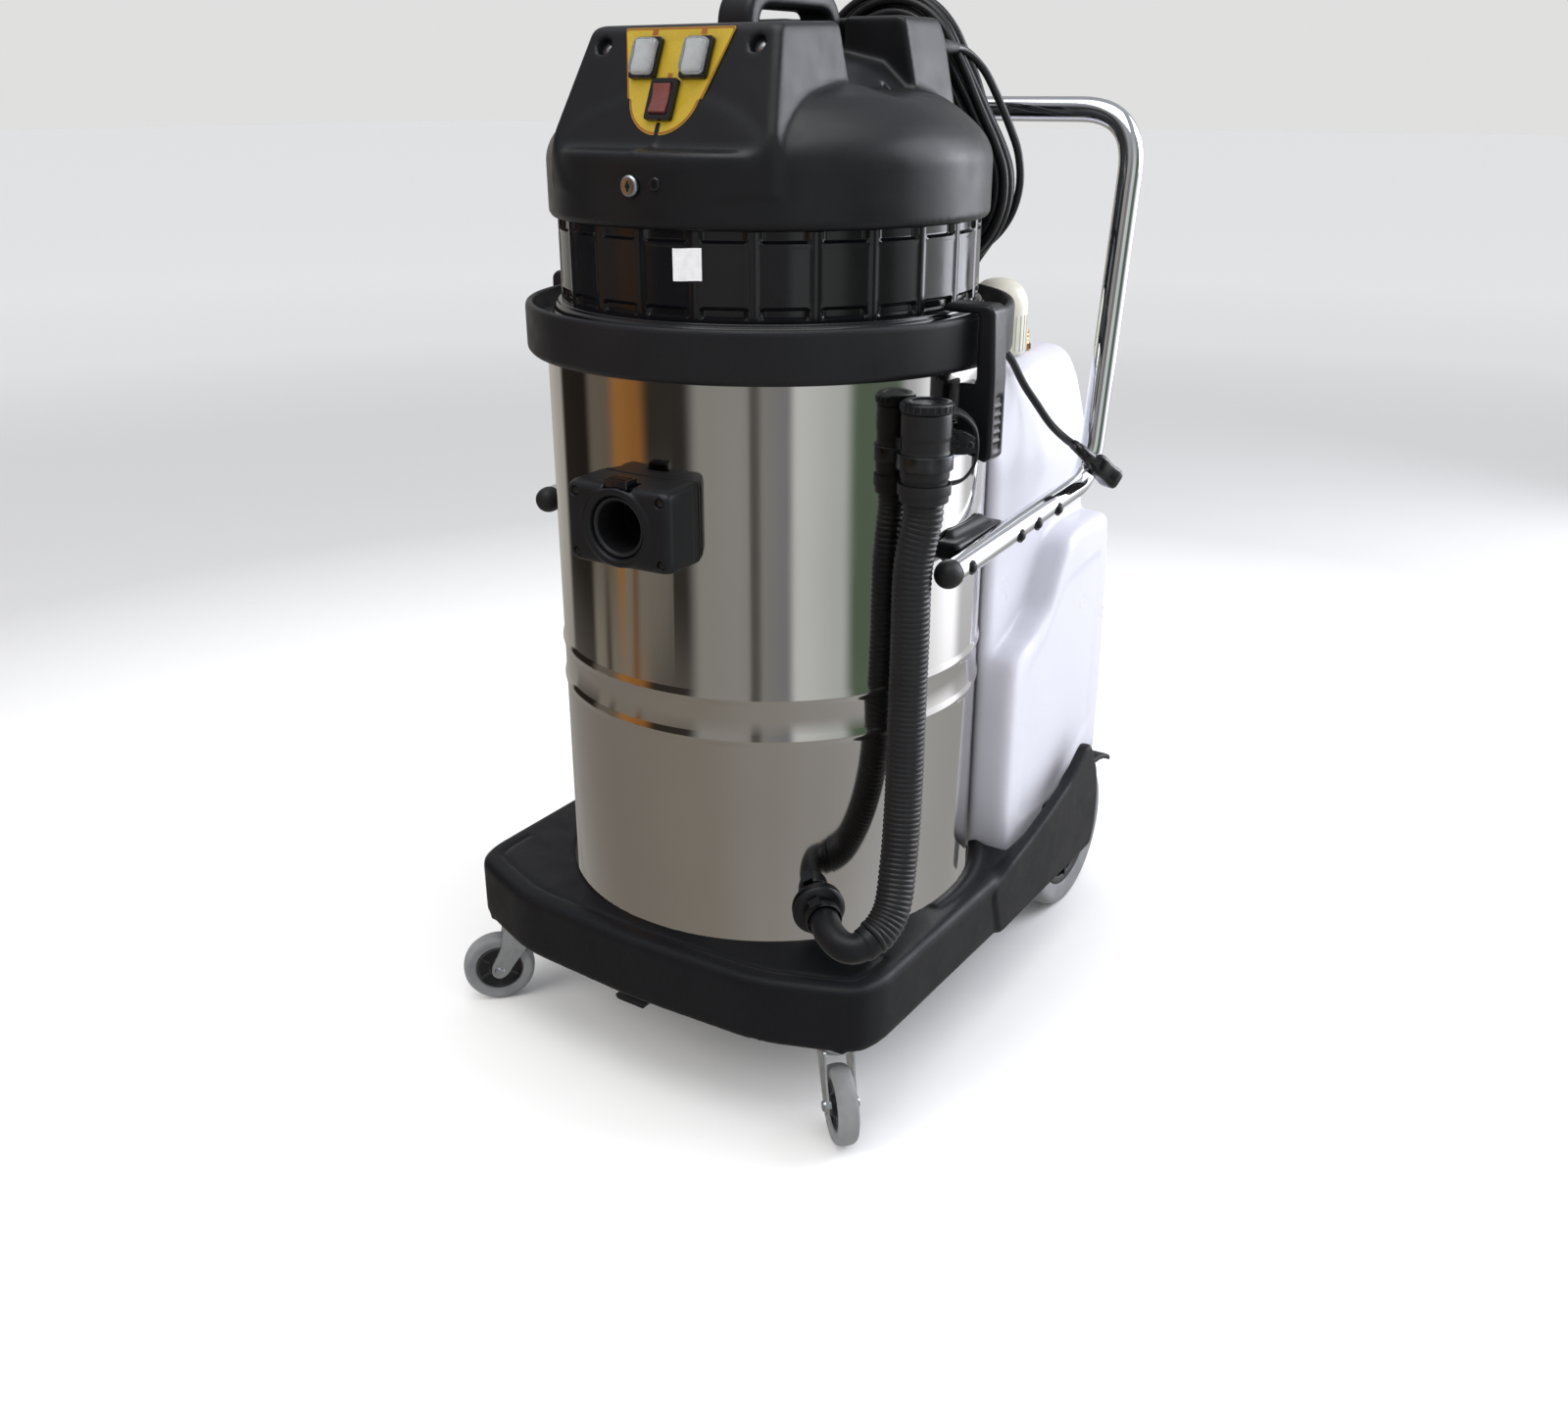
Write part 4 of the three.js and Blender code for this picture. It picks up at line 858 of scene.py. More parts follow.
# ---------- drain cap, strap, hook ----------
cap_ribs = ringed(brick(22.2, -0.9, 702.4, 24.2, 0.9, 707.8), 15)
cap_line = [(0, 670.5), (15.5, 670.5), (16.6, 673), (16.6, 700.4), (23.2, 700.4), (23.4, 708), (21, 710),
    (15, 710), (13, 708.6), (0, 708.6)]
add("drain_stopper", moved(joined(lathed(cap_line, 1, 48, 2), *cap_ribs), *CUFF_SPOT, 0), MOULDED,
    "drain_cap", "drain_cap", bevel=0.3, rounds=1)
strap_knots = [(234, -70, 698), (243, -57, 695), (251.5, -46, 682), (254, -42.5, 664), (252.5, -44.5, 647),
    (246, -53, 634), (236.5, -68, 631)]
strap_line, _ = evenly(smooth_line(strap_knots, 2), 2)
add("stopper_strap", swept(strap_line, rectangle(11, 3, 1.3, 3), up=(0.64, 0.77, 0)), RUBBER, "chassis",
    "cap_strap", crease=50)
strap_collar = lathed([(22.6, 627), (24.4, 627), (24.4, 637), (22.6, 637)], 0.7, 48, 2)
hook_ring = lathed([(23, 650), (25.4, 650), (25.4, 664), (23, 664)], 0.8, 48, 2)
add("strap_collar", moved(strap_collar, *CUFF_SPOT, 0), RUBBER, "chassis")
hook_turn = math.degrees(math.atan2(CUFF_SPOT[0], -CUFF_SPOT[1]))
hook_plate = spun(prism(rectangle(22, 32, 4), -224, -219.9, "y"), hook_turn)
add("hose_clip", joined(moved(hook_ring, *CUFF_SPOT, 0), moved(hook_plate, 0, 0, 659)), DIM_ZINC, "chassis",
    "hose_hook", bevel=0.4)

# ---------- push handle ----------
ARM_X, TUBE_R = 245, 12.5
ARM_FRONT, ARM_REAR = (-64, 549), (212, 570)
BAR_Y, BAR_Z, SHOULDER, BEND = 312, 943, 62, 38
CORNER_Y = 252  # where the side arms turn up


def bend(a, b, c, count=14):
    a, b, c = (np.array(p, float) for p in (a, b, c))
    return [(1 - t) ** 2 * a + 2 * t * (1 - t) * b + t * t * c for t in np.linspace(0, 1, count)]


def handle_half(side):
    """Knots of one side arm and half of the crossbar."""
    lean = math.atan2(BAR_Y - CORNER_Y, BAR_Z - 620)
    rise = (ARM_REAR[1] - ARM_FRONT[1]) / (ARM_REAR[0] - ARM_FRONT[0])
    x = side * ARM_X
    corner = (CORNER_Y, ARM_FRONT[1] + rise * (CORNER_Y - ARM_FRONT[0]))
    up = (x, corner[0] + BEND * math.sin(lean), corner[1] + BEND * math.cos(lean))
    before = (x, corner[0] - BEND, corner[1] - rise * BEND)
    below = (x, BAR_Y - SHOULDER * math.sin(lean), BAR_Z - SHOULDER * math.cos(lean))
    inside = (side * (ARM_X - SHOULDER), BAR_Y, BAR_Z)
    front = np.array((x, *ARM_FRONT), float)
    arm = [front + (np.array(before) - front) * t for t in np.linspace(0, 0.98, 12)]
    return arm + bend(before, (x, *corner), up) + bend(below, (x, BAR_Y, BAR_Z), inside)


left, right = handle_half(-1), handle_half(1)
handle_line, _ = evenly(left + right[::-1], 4)
add("handle_tube", tube(handle_line, TUBE_R, 32), CHROME, "chassis", "tube_handle", crease=60)
arm_slope = math.degrees(math.atan2(ARM_REAR[1] - ARM_FRONT[1], ARM_REAR[0] - ARM_FRONT[0]))
for side, word in SIDES:
    x = side * ARM_X
    end_line = [(0, 0), (13.4, 0), (13.8, 3), (13.6, 8), (11.6, 13.5), (7.6, 17.4), (0, 19.4)]
    end = lathed(end_line, 3, 32, 4)
    end = moved(spun(spun(end, 90, "X"), arm_slope, "X"), x, ARM_FRONT[0] - 1.7, ARM_FRONT[1] - 0.3)
    add(f"handle_end_{word}", end, RUBBER, "chassis", f"end_cap_{word}", crease=60)
    low, step = (184, -50, 538), 1.3
    gx, gy, gz = grid(low, (250, 68, 584), step)
    field = box_field(gx, gy, gz, (190, -44, 551), (240.5, 62, 569), 6)
    field = either(field, box_field(gx, gy, gz, (190, -30, 543), (226, 48, 577), 8), 8)
    axis_z = ARM_FRONT[1] + (gy - ARM_FRONT[0]) * math.tan(math.radians(arm_slope))
    field = less(field, hypot(gx - ARM_X, gz - axis_z) - (TUBE_R + 0.5), 1.5)
    field = less(field, hypot(gx, gy) - (DRUM_R + 0.35))
    bracket = skin(field, low, step)
    bracket = bracket if side > 0 else mirrored(bracket)
    add(f"arm_bracket_{word}", bracket, MOULDED, "chassis", f"handle_bracket_{word}",
        crease=180, relax=1)
    bolts = []
    for y in (-46, 60, 100, 150):
        z = ARM_FRONT[1] + (y - ARM_FRONT[0]) * math.tan(math.radians(arm_slope))
        head = lathed([(0, -1), (5.2, -1), (5, 2.2), (3.4, 3.6), (0, 4)], 0.8, 24, 2)
        washer = turned([(0, -1.2), (7, -1.2), (7, 0.6), (0, 0.6)], 24)
        spot = (x + side * (TUBE_R - 0.6), y, z - (3 if y > 0 else 0))
        bolts.append(moved(spun(joined(head, washer), 90 * side, "Y"), *spot))
    add(f"arm_bolts_{word}", joined(*bolts), MOULDED if side > 0 else ZINC, "chassis")

# ---------- solution tank ----------
CAP_SPOT = (126, 256)
TANK_SIDE = [(125, 151), (125, 386), (150, 400), (176, 408), (212, 430), (234, 470), (252, 499), (290, 508),
    (370, 508), (380, 440), (388, 300), (388, 151)]
TANK_FRONT_LINE = [(-197, 151), (197, 151), (197, 598), (181, 661), (168, 686), (152, 695), (-152, 695),
    (-168, 686), (-181, 661), (-197, 598)]

TANK_PANEL = [(160, 190), (160, 372), (205, 398), (250, 450), (352, 462), (352, 245),
    (300, 212), (255, 190)]


def tank_shape():
    low, step = (-236, 84, 146), 3.0
    x, y, z = grid(low, (236, 394, 724), step)
    side = np.abs(x)
    wide = both(outline_distance(y, z, rounded(TANK_SIDE, 16, 4)), side - 231, 13)
    upper = both(outline_distance(x, z, rounded(TANK_FRONT_LINE, 20, 4)), span(y, 125, 370), 16)
    field = either(wide, upper, 7)
    panel = both(outline_distance(y, z, rounded(TANK_PANEL, 14)), 229.4 - side, 3)
    field = less(field, panel, 4)
    axle = hypot(y - WHEEL_Y, z - WHEEL_R)
    field = less(field, both(axle - 109.2, 182.2 - side, 4), 5)
    field = less(field, both(182.2 - side, both(233 - y, z - 176.6)), 4)
    r = hypot(x, y)
    field = less(field, r - 224.5, 6)
    field = less(field, both(371 - y, z - 177), 3)
    neck = hypot(x - CAP_SPOT[0], y - CAP_SPOT[1])
    field = either(field, both(neck - 25, span(z, 680, 717), 1), 5)
    field = less(field, both(neck - 21, 655 - z))
    return skin(field, low, step)


add("tank_moulding", tank_shape(), TANK, "chassis", "solution_tank", crease=180, relax=6)
filler_line = [(0, 717.8), (25.8, 717.8), (25.8, 697), (31.2, 696.2), (32, 700), (32, 748), (30, 757),
    (25, 766), (16, 772.5), (6, 775), (0, 775)]
filler_ribs = ringed(brick(31.4, -1.2, 700, 32.8, 1.2, 738), 12)
add("tank_cap", moved(joined(lathed(filler_line, 3, 64), *filler_ribs), *CAP_SPOT, 0), CREAM, "filler_cap",
    "filler_cap", bevel=0.4, rounds=2)
fitting_line = [(0, 695.4), (8, 695.4), (8, 698), (6.2, 699), (6.2, 703), (5.5, 704.2), (6.6, 706.5),
    (5.4, 708.5), (6.5, 711), (5.2, 713), (6, 715), (4.4, 717), (0, 717)]
hexagon = prism(circle(9, 6), 696, 702)
add("brass_connector", moved(joined(turned(fitting_line, 32), hexagon), 140, 296, 0), BRASS, "chassis",
    "brass_fitting", crease=30)

# ---------- rear wheels ----------
def wheel_shape(profile, x=0.0, segments=96):
    return moved(spun(turned(rounded(profile, 2.4), segments), 90, "Y"), x, 0, 0)


axle_rod = spun(lathed(twice([(0, -234), (7, -234), (8, -233)]), 0.5, 32, 1), 90, "Y")
add("axle_rod", moved(axle_rod, 0, WHEEL_Y, WHEEL_R), ZINC, "chassis", "rear_axle")
for side, word in SIDES:
    tyre = twice([(68, -16), (86, -19), (92, -17.5), (95, -10), (95, -2.2), (93.6, -1.4)])
    hub_rim = wheel_shape(twice([(58, -5), (58, -14), (67.5, -16)]))
    hub_web = wheel_shape(twice([(20, -4), (60, -4)]))
    hub_core = wheel_shape(twice([(9, -20), (20, -20), (24, -14), (26, -4)]))
    ribs = ringed(brick(-15, -2, 22, 15, 2, 62), 45, "X")
    place = (side * WHEEL_X, WHEEL_Y, WHEEL_R)
    add(f"rear_tread_{word}", moved(wheel_shape(tyre), *place), TREAD, f"rear_wheel_{word}",
        f"rear_tyre_{word}")
    add(f"rear_wheel_hub_{word}", moved(joined(hub_rim, hub_web, hub_core, *ribs), *place), MOULDED,
        f"rear_wheel_{word}", f"rear_hub_{word}", bevel=0.6)
    cap_shape = [(8.6, 20.6), (15, 20.6), (15, 25), (11.5, 28.4), (5, 30), (0, 30.4),
        (0, 27.6), (8.6, 27.4)]
    cap = spun(turned(rounded(cap_shape, 1, 2, closed=False), 40), 90 * side, "Y")
    add(f"wheel_cap_{word}", moved(cap, *place), MOULDED, f"rear_wheel_{word}",
        f"axle_cap_{word}")

# ---------- casters ----------
CASTER_R = 40
for side, word in SIDES:
    turn = Matrix.Rotation(math.radians(45 * side), 4, "Z")
    place = Matrix.Translation((side * CASTER_X, CASTER_Y, 0)) @ turn
    leg = [(-20, 95.6), (20, 95.6), (18, 88), (8, 74), (-12, 46), (-CASTER_TRAIL + 8, 34),
        (-CASTER_TRAIL, 29.5), (-CASTER_TRAIL - 8, 34), (-CASTER_TRAIL - 9, 44), (-24, 70)]
    legs = [prism(rounded(leg, 7, 4), a, b, "x") for a, b in ((-15.5, -13), (13, 15.5))]
    crown = lathed([(0, 91.5), (20, 91.5), (21.5, 93), (21.5, 96), (17, 99.5), (0, 99.5)], 1.5, 40)
    stem = turned([(0, 90), (5.4, 90), (5.4, 121), (0, 121)], 24)
    bearing = lathed([(0, 97), (13, 97), (13, 99.4), (0, 99.4)], 0.5, 40, 1)
    bolt = lathed(twice([(0, -18.6), (5.2, -18.6), (6, -15.4), (3.9, -15.2)]), 0.6, 24, 2)
    bolt = moved(spun(bolt, 90, "Y"), 0, -CASTER_TRAIL, CASTER_R)
    bridge = brick(-15.5, -14, 91, 15.5, 14, 93.8)
    add(f"fork_{word}", placed(joined(*legs, crown, stem, bearing, bolt, bridge), place), ZINC,
        f"caster_{word}", f"caster_fork_{word}", bevel=0.5)
    spot = place @ Matrix.Translation((0, -CASTER_TRAIL, CASTER_R))
    tyre = [(26.5, -9), (36, -11), (39.2, -7.5), (40, 0), (39.2, 7.5), (36, 11), (26.5, 9)]
    hub = twice([(4.6, -10.5), (10.5, -10.5), (12.5, -5), (22.5, -4.5), (26, -8.6)])
    ribs = ringed(brick(-6.6, -1, 10, 6.6, 1, 24), 60, "X")
    add(f"caster_tread_{word}", placed(wheel_shape(tyre, 0, 72), spot), TREAD, f"caster_wheel_{word}",
        f"caster_tyre_{word}")
    add(f"caster_core_{word}", placed(joined(wheel_shape(hub, 0, 72), *ribs), spot), MOULDED,
        f"caster_wheel_{word}", f"caster_hub_{word}", bevel=0.3, rounds=1)

# ---------- latches ----------
LATCH_Y = -17
LATCH = [(225, 716), (225, 672), (234, 652), (255, 645), (261, 650), (261, 722), (258, 781), (252, 786),
    (212, 786), (206.5, 783), (206.5, 778.5), (214, 777.5), (242, 777.5), (242.5, 720), (240, 716)]


def latch_shape():
    low, step = (200, LATCH_Y - 17, 640), 1.1
    x, y, z = grid(low, (266, LATCH_Y + 17, 790), step)
    field = both(outline_distance(x, z, rounded(LATCH, 2.5)), np.abs(y - LATCH_Y) - 14, 4.5)
    field = less(field, both(hypot(x - 244, z - 662) - 3.6, -y - 100))
    finger = [(LATCH_Y - 7, 655), (LATCH_Y + 7, 655), (LATCH_Y + 7, 706), (LATCH_Y - 7, 706)]
    finger = both(outline_distance(y, z, rounded(finger, 4)), 259.4 - x, 1.5)
    field = less(field, finger, 1.5)
    for k in range(5):
        rib = both(np.abs(y - LATCH_Y) - 6, span(x, 255, 260.7))
        field = either(field, both(np.abs(z - (664 + 8 * k)) - 1.3, rib, 1), 1)
    return skin(field, low, step)


latch = latch_shape()
lug = rounded([(219, 650), (238, 652), (250, 656), (250, 668), (238, 673), (219, 675)], 4)
cheeks = [prism(lug, LATCH_Y + a, LATCH_Y + b, "y") for a, b in ((-18.5, -14.6), (14.6, 18.5))]
back_plate = prism([(221.1, 646), (223.8, 646), (223.8, 679), (221.1, 679)], LATCH_Y - 18,
    LATCH_Y + 18, "y")
pin = lathed(twice([(0, -20.4), (3.4, -20.4), (3.4, -18.4), (2.7, -18)]), 0.4, 24, 1)
pin = moved(spun(pin, 90, "X"), 244, LATCH_Y, 662)
bracket = joined(*cheeks, back_plate, pin)
for side, word in SIDES:
    shape = latch if side > 0 else mirrored(latch)
    add(f"latch_lever_{word}", shape, MOULDED, f"latch_{word}", f"latch_{word}",
        crease=180, relax=1)
    shape = bracket if side > 0 else mirrored(bracket)
    add(f"latch_mount_{word}", shape, ZINC, "chassis", f"latch_bracket_{word}", bevel=0.4)


# ---------- motor head ----------
VENT_R = 203.5
add("gasket_ring", lathed([(201, 757.3), (209, 757.3), (209, 760.3), (201, 760.3)], 1, 128), RUBBER, "head",
    "head_gasket")
FLANGE = [(45, 760.6), (212.5, 760.6), (213, 765), (210.4, 767), (210.4, 770.5), (208.8, 772.2),
    (207.6, 773), (206.8, 775.7), (45, 775.7)]
add("flange_rings", lathed(FLANGE, 1.2, 160), GLOSS, "head", "head_flange")


def vent_shape():
    """A wall with raised pillars, and slots along both edges, as a relief on a cylinder."""
    panels = 24
    angles = np.arange(0, 360, 0.5)
    heights = np.concatenate([[776.0], np.arange(776.3, 850.6, 1.35), [850.7]])
    place = (angles / 360 * panels) % 1
    from_pillar = np.minimum(place, 1 - place) * 2 * math.pi * VENT_R / panels
    rise = np.clip((3.4 - from_pillar) / 1.4, 0, 1)[:, None]
    wide = np.clip((from_pillar - 6.5) / 1.2, 0, 1)[:, None]
    top = np.clip((heights - 841.5) / 1.3, 0, 1)[None, :]
    foot = np.clip((787.5 - heights) / 1.3, 0, 1)[None, :] * np.clip((heights - 779.0) / 1.3, 0, 1)[None, :]
    inset = np.clip((heights - 790.5) / 2, 0, 1) * np.clip((839 - heights) / 2, 0, 1)
    inset = inset[None, :] * np.clip((from_pillar - 4.2) / 1.6, 0, 1)[:, None]
    radius = VENT_R - 0.7 + 0.7 * rise - 0.35 * inset - 4.2 * wide * both(top, foot)
    turn = np.radians(angles)[:, None]
    outer = np.stack([radius * np.cos(turn), radius * np.sin(turn),
        np.broadcast_to(heights, radius.shape)], -1)
    ends = np.array([850.7, 776.0])
    inner = np.stack([196.5 * np.cos(turn) * np.ones(2), 196.5 * np.sin(turn) * np.ones(2),
        np.broadcast_to(ends, (len(angles), 2))], -1)
    both_sides = np.concatenate([outer, inner], 1)
    return both_sides.reshape(-1, 3), ring_faces(len(angles), both_sides.shape[1])


add("vent_wall", vent_shape(), GLOSS, "head", "vent_ring", crease=50)
# Painted shade: a near-black sheet inside the vent wall stands for the shade within the head.
add("vent_painted_shade_sheet", turned([(190, 777), (191, 777), (191, 850), (190, 850)], 96), PAINTED_SHADE, "head")
label_angle = math.radians(13.5)
label_points = []
for v in (810, 837):
    for a in np.linspace(-0.066, 0.066, 9):
        turn = label_angle + a
        label_points.append([(VENT_R + 0.25) * math.sin(turn), -(VENT_R + 0.25) * math.cos(turn),
            v + 0.5 * math.sin(a * 30)])
label_points += [[p[0] * 0.9985, p[1] * 0.9985, p[2]] for p in label_points]
label_faces = []
for i in range(8):
    label_faces += [[i, i + 1, i + 10, i + 9], [i + 18, i + 27, i + 28, i + 19], [i, i + 18, i + 19, i + 1],
        [i + 9, i + 10, i + 28, i + 27]]
label_faces += [[0, 9, 27, 18], [8, 26, 35, 17]]
add("blank_sticker", (np.array(label_points), label_faces), LABEL, "head", crease=60)

DOME = [(0, 851), (211, 851), (211, 907), (205, 921), (193, 934), (178, 946), (160, 957), (130, 966),
    (60, 971), (0, 972)]
LEAN = math.radians(24.3)
PANEL_MIDDLE = (0, -154.5, 966.5)
SWITCHES = {"left": (-27, 20), "right": (27, 20), "pump": (0, -16)}
COVER_SCREWS = (-82, 82)


def head_shape():
    low, step = (-215, -215, 846), 2.0
    x, y, z = grid(low, (215, 256, 1036), step)
    side = np.abs(x)
    r = hypot(x, y)
    dome = outline_distance(r, z, rounded(DOME, 7, 4))
    slope = (y + 133) * math.cos(LEAN) - (z - 1014) * math.sin(LEAN)  # positive behind the inclined face
    before = both(slope, span(side, -1, 124), 6)
    before = both(before, 914 - z, 8)
    dome = less(dome, before, 5)
    flank = both((side - 124) + (z - 911) * 22 / 99, side - 124)
    roof = np.interp(y[0, :, 0], (-133, -40, 60, 148, 158), (1013.5, 1017, 1026, 1026, 1014))
    roof = z - roof[None, :, None]
    tower = both(both(-slope, flank, 9), both(roof, y - 158, 10), 8)
    tower = both(tower, r - 211, 6)
    tower = both(tower, 880 - z)
    field = either(dome, tower, 5)
    ledge = 996 - np.clip(side - 24, 0, 54) * 12 / 54 - np.clip(side - 78, 0,
        26) * 22 / 26 - np.clip(side - 104, 0, 60) * 0.12
    hand = both(both(span(y, -38, 78), ledge - z, 8), 24 - side, 6)
    field = less(field, hand, 5)
    shallow = both(both(span(y, -60, 100), 1000 - z, 4), side - 32, 6)
    field = less(field, shallow, 5)
    peg = both(hypot(x + 14, z - 1015.5) - 8.5, span(y, 120, 250))
    disc = both(hypot(x + 14, z - 1015.5) - 15, span(y, 247, 252), 2.5)
    field = either(field, either(peg, disc, 2), 6)
    seam = both(np.abs(z - 853.6) - 0.8, 209.4 - r)
    field = less(field, seam, 1)
    lift = (z - PANEL_MIDDLE[2]) * math.sin(LEAN) - (y - PANEL_MIDDLE[1]) * math.cos(LEAN)
    v = (y - PANEL_MIDDLE[1]) * math.sin(LEAN) + (z - PANEL_MIDDLE[2]) * math.cos(LEAN)
    for u0, v0 in SWITCHES.values():
        opening = both(np.abs(x - u0) - 12.3, np.abs(v - v0) - 16.3)
        field = less(field, both(opening, np.abs(lift) - 14))
    for sx in COVER_SCREWS:
        screw = both(hypot(x - sx, v - 34) - 7.5, -lift - 9)
        screw = both(screw, y + 60)
        field = less(field, screw, 1.5)
    hole = hypot(side - 100, y - 43) - 4
    field = less(field, both(hole, 945 - z), 1.5)
    field = less(field, both(hypot(x, z - 886) - 6.2, y + 195))
    field = less(field, both(hypot(x - 84, z - 1001) - 5.8, 120 - y))
    return skin(field, low, step)


add("head_moulding", head_shape(), MOULDED, "head", "head_cover", crease=180, relax=2)
PANEL_TILT = Matrix.Translation(PANEL_MIDDLE) @ Matrix.Rotation(math.pi / 2 - LEAN, 4, "X")


def on_panel(shape, u=0.0, v=0.0):
    return placed(moved(shape, u, v, 0), PANEL_TILT)


recess_screw = lathed([(0, -9.5), (5.2, -9.5), (5, -7), (0, -6.2)], 0.8, 20, 2)
add("cover_screws", joined(*[on_panel(recess_screw, u, 34) for u in COVER_SCREWS]), ZINC, "head")

# ---------- carry handle ----------
grip = [(0, -50, 1000.7), (0, -50, 1012)] + bend((0, -50, 1012), (0, -50, 1040),
    (0, -20, 1040)) + bend((0, 60, 1040), (0, 90, 1040), (0, 90, 1012))
grip += [(0, 90, 1000.7)]
grip_line, _ = evenly(grip, 4)
add("carry_grip", swept(grip_line, rectangle(38, 20, 8, 5), up=(0, 1, 0)), MOULDED, "head",
    "carry_handle", crease=60)

# ---------- control panel ----------
SHIELD = [(-59, 48),
    (-40, -14)] + [(38 * math.cos(a), -8 + 38 * math.sin(a)) for a in np.linspace(math.pi + 0.16,
    2 * math.pi - 0.16, 24)]
SHIELD += [(40, -14), (59, 48)]


def shrunk(line, amount):
    """The outline drawn in by about an amount."""
    middle = np.mean(line, axis=0)
    out = []
    for p in line:
        d = np.array(p) - middle
        out.append(tuple(middle + d * (1 - amount / np.linalg.norm(d))))
    return out


shield = rounded(SHIELD, 3)
panel = add("panel_plate", on_panel(prism(shield, 0.3, 1.7)), YELLOW, "head",
    "control_panel", bevel=0.3)
bored(panel, on_panel(joined(*[moved(prism(rectangle(23.8, 31.8, 1, 2), -3, 5), u, v) for u,
    v in SWITCHES.values()])))


marks = [moved(prism(rectangle(6, 5, 0.8), 1.65, 1.85), u, 43.5, 0) for u in (-25, 27)]
marks.append(moved(prism(rectangle(5, 4, 0.8), 1.65, 1.85), 1, 6, 0))
add("panel_print", on_panel(joined(band(shrunk(shield, 0.6), shrunk(shield, 2.6), 1.65, 1.8), *marks)),
    ORANGE, "head")
for word, (u, v) in SWITCHES.items():
    frame_shape = band(rectangle(28, 36, 3, 4), rectangle(19, 27, 1.5, 4), 1.9, 6.6)
    well = joined(band(rectangle(23.6, 31.6, 1, 2), rectangle(19, 27, 1, 2), -10, 3),
        moved(prism(rectangle(23, 31, 1, 2), -12, -10)))
    add(f"switch_frame_{word}", on_panel(joined(frame_shape, well), u, v), GLOSS, "head",
        f"switch_bezel_{word}", bevel=0.6)
    dish = rounded([(-12.8, 3), (12.8, 3), (12.5, 9.4), (5, 7.4), (-2, 7.1), (-12.4, 9.0)], 1.6, 3)
    rocker = prism(dish, -8.9, 8.9, "x")
    finish = RED if word == "pump" else WHITE
    add(f"switch_rocker_{word}", on_panel(rocker, u, v), finish, f"rocker_{word}",
        f"rocker_{word}", bevel=0.8)
    if word != "pump":
        section = rectangle(23, 31, 5, 5)
        levels = [(6.7, 1.0), (10, 0.99), (12.5, 0.94), (14, 0.84), (14.8, 0.66), (15, 0.3)]
        rings = [[(a * s, b * s, z) for a, b in section] for z, s in levels]
        n = len(section)
        points = [p for ring in rings for p in ring]
        top = (len(rings) - 1) * n
        faces = wall_faces(len(rings), n) + [list(range(top, top + n)), list(reversed(range(n)))]
        add(f"switch_boot_{word}", on_panel((points, faces), u, v), BOOT, "head", crease=60)

# ---------- lock ----------
lock_line = [(0, 204), (5.8, 204), (5.8, 211.4), (9.2, 211.4), (9.2, 214.2), (7.6, 216), (0, 216)]
lock = spun(lathed(lock_line, 0.8, 40, 2), 90, "X")
add("lock_barrel", moved(lock, 0, 0, 886), ZINC, "head", "head_lock")
# Painted shade: a near-black bar and disc on the lock's face stand in for the shade in its keyway.
add("lock_keyway_painted_shade", moved(joined(brick(-0.9, -216.3, -4.2, 0.9, -215.2, 4.2),
    spun(turned([(0, 215.2), (2.4, 215.2), (2.4, 216.25), (0, 216.25)], 24), 90, "X")), 0, 0, 886), PAINTED_SHADE,
    "head")
rivet = spun(lathed([(0, 209), (6, 209), (6, 211.8), (4, 213), (0, 213.3)], 0.8, 32, 2), 90, "X")
add("lock_rivet", moved(spun(rivet, 6.6), 0, 0, 888), GLOSS, "head")

# ---------- inside pieces keep their CAD shape ----------
for node, finish in (("motor_left", MOTOR), ("motor_right", MOTOR), ("pump", MOTOR),
    ("float_cage", MOULDED), ("float_ball", FLOAT)):
    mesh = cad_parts[node].data
    mesh.materials.clear()
    mesh.materials.append(finish)

# ---------- floor, light ----------
floor_mesh = bpy.data.meshes.new("floor")
floor_mesh.from_pydata([(-40, -40, 0), (40, -40, 0), (40, 40, 0), (-40, 40, 0)], [], [[0, 1, 2, 3]])
floor = bpy.data.objects.new("floor", floor_mesh)
bpy.context.scene.collection.objects.link(floor)
floor.visible_glossy = False
pale = bpy.data.materials.new("pale_floor_painted_light")
graph = Graph(pale)
length = graph.node("VectorMath", [graph.node("TexCoord").outputs["Object"]], operation="LENGTH")
FLOOR_REACH = 8.0  # metres, where the ramps end
reach = graph.node("MapRange", {"From Max": FLOOR_REACH,
    "Value": length.outputs["Value"]}).outputs["Result"]
# Painted light on the floor: its colour is palest within about a metre of the machine, a painted pool of
# light, darkest near two metres, and paler again farther out, where a painted glow also rises towards the
# backdrop's tone.
FLOOR_PAINTED_LIGHT = {"Base Color": ((0.13, 0.93), (0.25, 0.64), (0.42, 0.7), (0.62, 0.86)),
    "Emission Color": ((0.3, 0.0), (0.9, 0.16))}
floor_shader = graph.nodes["Principled BSDF"]
for socket, stops in FLOOR_PAINTED_LIGHT.items():
    rows = [(position, level, level, level * 0.993) for position, level in stops]
    graph.feed(floor_shader.inputs[socket], graph.ramp(reach, rows, "LINEAR"))
floor_shader.inputs["Emission Strength"].default_value = 1.0
floor_shader.inputs["Roughness"].default_value = 0.9
floor_mesh.materials.append(pale)

bpy.context.scene.view_settings.view_transform = "Standard"
low_pieces = ["base_moulding", "front_lip"]
low_pieces += [f"{part}_{word}" for part in ("fork", "caster_tread", "caster_core") for _, word in SIDES]
for piece in low_pieces:
    bpy.data.objects[piece].visible_glossy = False

